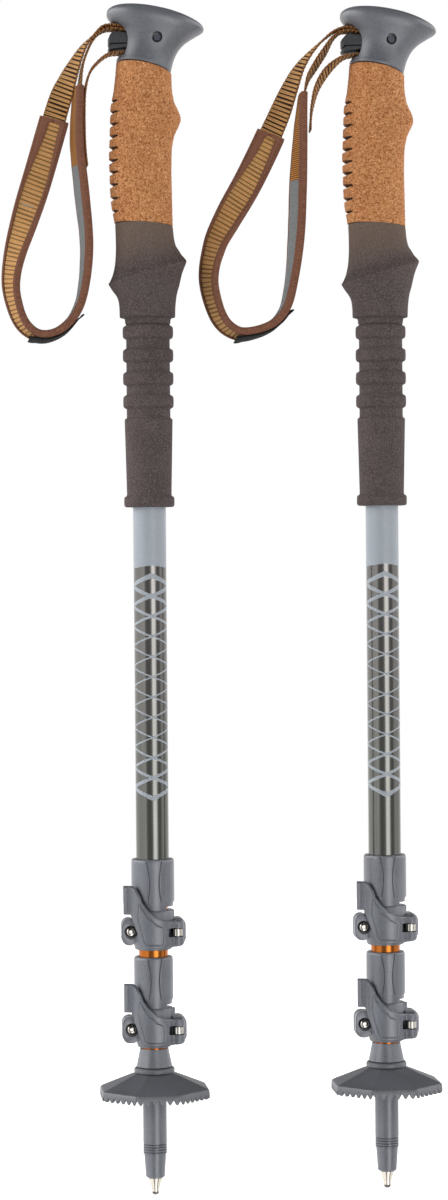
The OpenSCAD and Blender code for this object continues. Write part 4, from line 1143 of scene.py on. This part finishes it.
def build_basket(name):
    """Eight flat sides under a round collar, with a toothed rim and a hollow underside."""
    per_side = TEETH * TOOTH_POINTS
    count = BASKET_SIDES * per_side
    k = np.arange(count)
    along = (k % per_side + 0.5) / per_side
    centre = (k // per_side) * 45.0 - 90.0
    tan_half = math.tan(math.radians(22.5))
    side_y = (2 * along - 1) * tan_half
    corner_soft = 1 - 0.012 * smoothstep(np.abs(2 * along - 1), 0.93, 1)
    c, s = np.cos(np.radians(centre)), np.sin(np.radians(centre))
    octagon = np.stack([c - side_y * s, s + side_y * c], axis=1) * corner_soft[:, None]
    angle = np.arctan2(octagon[:, 1], octagon[:, 0])
    circle = np.stack([np.cos(angle), np.sin(angle)], axis=1)
    tooth = np.abs(((k % TOOTH_POINTS) + 0.5) / TOOTH_POINTS * 2 - 1)
    drop = np.clip(1.14 - 1.3 * tooth, 0, 1)
    top, low = BASKET_TOP, BASKET_LOW
    rim = low + 5.0
    tip, skirt = 2.6, 2.4

    def ring(size, z, roundness=0.0, teeth=0.0):
        xy = size * ((1 - roundness) * octagon + roundness * circle)
        return np.concatenate([xy, (z - teeth * drop)[:, None]], axis=1)

    a = BASKET_HALF
    rows = [
        (8.6, top - 0.5, 1), (8.9, top - 0.1, 1), (9.6, top, 1), (10.4, top - 0.15, 1), (11.0, top - 0.8, 1),
        (11.15, top - 1.7, 1), (11.0, top - 2.7, 1), (10.5, top - 3.2, 0.9), (10.8, top - 3.5, 0.35),
        (12.5, top - 4.2, 0.06), (16.0, top - 5.75, 0), (20.0, top - 7.5, 0), (24.5, top - 9.5, 0),
        (27.8, rim + 0.75, 0), (a - 0.75, rim + 0.42, 0), (a - 0.3, rim + 0.15, 0), (a, rim - 0.4, 0),
        (a + 0.15, rim - skirt + 0.1, 0),
    ]
    rings = [ring(size, z, roundness) for size, z, roundness in rows]
    rings += [
        ring(a + 0.2, rim - skirt, 0, tip - 0.2), ring(a, rim - skirt, 0, tip), ring(a - 1.4, rim - skirt, 0, tip),
        ring(a - 1.6, rim - skirt, 0, tip - 0.2), ring(a - 1.7, rim - 1.7, 0), ring(a - 2.2, rim - 0.6, 0),
    ]
    under = [(24.0, top - 11.4, 0), (18.0, top - 8.8, 0), (12.0, top - 6.2, 0.2), (11.0, top - 6.0, 1),
             (11.0, top - 8.0, 1), (10.8, top - 8.2, 1), (8.9, top - 8.2, 1), (8.6, top - 7.9, 1)]
    rings += [ring(size, z, roundness) for size, z, roundness in under]
    basket = loft(name, rings, 28, closed=True)
    fix_normals(basket)
    return basket


# ------------------------------------------------------------------ the frame's own parts

CAD_FINISHES = {
    "strap_pin": "pin", "middle_shaft": "copper", "lower_shaft": "copper", "middle_guide_bush": "dark",
    "lower_guide_bush": "dark", "ferrule": "grey", "tip_holder": "nickel", "carbide_tip": "carbide",
    "upper_cam_pin": "steel", "upper_cam_bolt": "steel", "upper_nuts": "steel",
    "lower_cam_pin": "steel", "lower_cam_bolt": "steel", "lower_nuts": "steel",
}


def finish_cad_nodes(materials):
    for side in SIDES:
        finishes = dict(CAD_FINISHES, upper_shaft=f"{side}_paint")
        for piece, finish in finishes.items():
            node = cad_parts[f"{side}_{piece}"]
            node.data.materials.clear()
            node.data.materials.append(materials[finish])


# ------------------------------------------------------------------ stage, light and camera

VIEW_HEIGHT = 658.0
EYE_DISTANCE = 1700.0
TARGET_X, TARGET_Z = -1.0, 325.4
CAMERA_PITCH, CAMERA_AZIMUTH, CAMERA_ROLL = 0.7, -6.0, -0.5

# Brightness of the studio around the poles by azimuth, in degrees from the camera towards +X
STUDIO = [
    (-180, 1.3), (-118, 1.4), (-100, 1.3), (-62, 1.35), (-48, 1.45), (-38, 0.42), (-12, 0.38), (1, 0.75), (6, 3.9),
    (26, 3.9), (35, 0.75), (42, 0.38), (58, 0.38), (72, 1.15), (112, 1.1), (126, 1.3), (180, 1.3),
]
STUDIO_TOP = 0.02
SKY_FROM, SKY_TO = 0.12, 0.4
# Softboxes high on both sides: how far sideways they begin, and the levels on the left and the right.
BOX_FROM, BOX_TO = 0.58, 0.74
BOX_LEFT, BOX_RIGHT = 3.6, 2.4


# Below the tips with both slides drawn out, so that the floor hides no part of a pose.
FLOOR_Z = -720.0


def build_stage():
    mesh = bpy.data.meshes.new("floor")
    half, z = 8.0, FLOOR_Z * MM
    mesh.from_pydata([(-half, -half, z), (half, -half, z), (half, half, z), (-half, half, z)], [], [(0, 1, 2, 3)])
    floor = new_object("floor", mesh)
    m = Nodes("floor_white")
    soft = m.noise(3, 2)
    m.shader.inputs["Emission Color"].default_value = (1, 1, 1, 1)
    rays = m.add("ShaderNodeLightPath").outputs
    m.link(m.between(rays["Is Camera Ray"], 0.0, 1.0, 0.12, 0.86), m.shader.inputs["Emission Strength"])
    white = m.finish(m.mix(soft, (0.78, 0.78, 0.78), (0.82, 0.82, 0.82)), 0.9, Specular_IOR_Level=0.0)
    output = m.shader.outputs[0].links[0].to_node
    clear = m.add("ShaderNodeBsdfTransparent")
    choice = m.add("ShaderNodeMixShader")
    m.link(rays["Is Glossy Ray"], choice.inputs[0])
    m.link(m.shader.outputs[0], choice.inputs[1])
    m.link(clear.outputs[0], choice.inputs[2])
    m.link(choice.outputs[0], output.inputs["Surface"])
    mesh.materials.append(white)


def build_world():
    """White for the camera. For everything else, a studio with bright sides and a narrow strip light in front."""
    m = Nodes("studio", "worlds")
    x, y, z = m.split(m.places["Generated"])
    azimuth = m.math("ARCTAN2", x, m.times(y, -1.0))
    share = m.plus(m.math("DIVIDE", azimuth, 2 * math.pi), 0.5)
    brightest = max(level for _, level in STUDIO)
    ring = m.ramp(share, [(angle / 360 + 0.5, [level / brightest] * 3) for angle, level in STUDIO])

    def mixed(share, first, second):
        return m.plus(m.times(first, m.minus(1.0, share)), m.times(share, second))

    with_top = mixed(m.between(z, SKY_FROM, SKY_TO), m.times(ring, brightest), STUDIO_TOP)
    box = m.times(m.between(m.math("ABSOLUTE", x), BOX_FROM, BOX_TO), m.between(z, 0.1, 0.25))
    blended = mixed(box, with_top, m.between(x, -0.1, 0.1, BOX_LEFT, BOX_RIGHT))
    camera_ray = m.add("ShaderNodeLightPath").outputs["Is Camera Ray"]
    background = m.tree.nodes["Background"].inputs
    background["Color"].default_value = (1, 1, 1, 1)
    m.link(mixed(camera_ray, blended, 1.0), background["Strength"])
    bpy.context.scene.world = m.owner
    bpy.context.scene.view_settings.view_transform = "Standard"


def build_camera():
    data = bpy.data.cameras.new("camera")
    data.sensor_fit = "AUTO"
    data.sensor_width = 36
    data.lens = 36 * EYE_DISTANCE / VIEW_HEIGHT
    camera = bpy.data.objects.new("camera", data)
    bpy.context.scene.collection.objects.link(camera)
    pitch, azimuth = math.radians(CAMERA_PITCH), math.radians(CAMERA_AZIMUTH)
    target = Vector((TARGET_X, 0, TARGET_Z))
    back = Vector((math.sin(azimuth) * math.cos(pitch), -math.cos(azimuth) * math.cos(pitch), math.sin(pitch)))
    camera.location = (target + back * EYE_DISTANCE) * MM
    camera.rotation_euler = (
        back.to_track_quat("Z", "Y").to_matrix() @ Matrix.Rotation(math.radians(CAMERA_ROLL), 3, "Z")
    ).to_euler()
    bpy.context.scene.camera = camera


# ------------------------------------------------------------------ assembly


def main():
    materials = make_materials()
    place_pair(build_head, "head", "handle", materials["head"], "grey_plastic", ("head_cap",))
    place_pair(build_wedge, "wedge", "wedge", materials["dark"], "dark_plastic", ("strap_wedge",))
    place_pair(build_cork, "cork", "handle", materials["cork"], "cork", ("cork_grip",))
    place_pair(build_foam, "foam", "handle", materials["foam"], "foam", ("foam_grip",))
    add_straps(materials)
    add_locks(materials)
    place_pair(build_basket, "basket_body", "basket", materials["basket"], "grey_plastic", ("basket",))
    finish_cad_nodes(materials)
    build_stage()
    build_world()
    build_camera()


main()
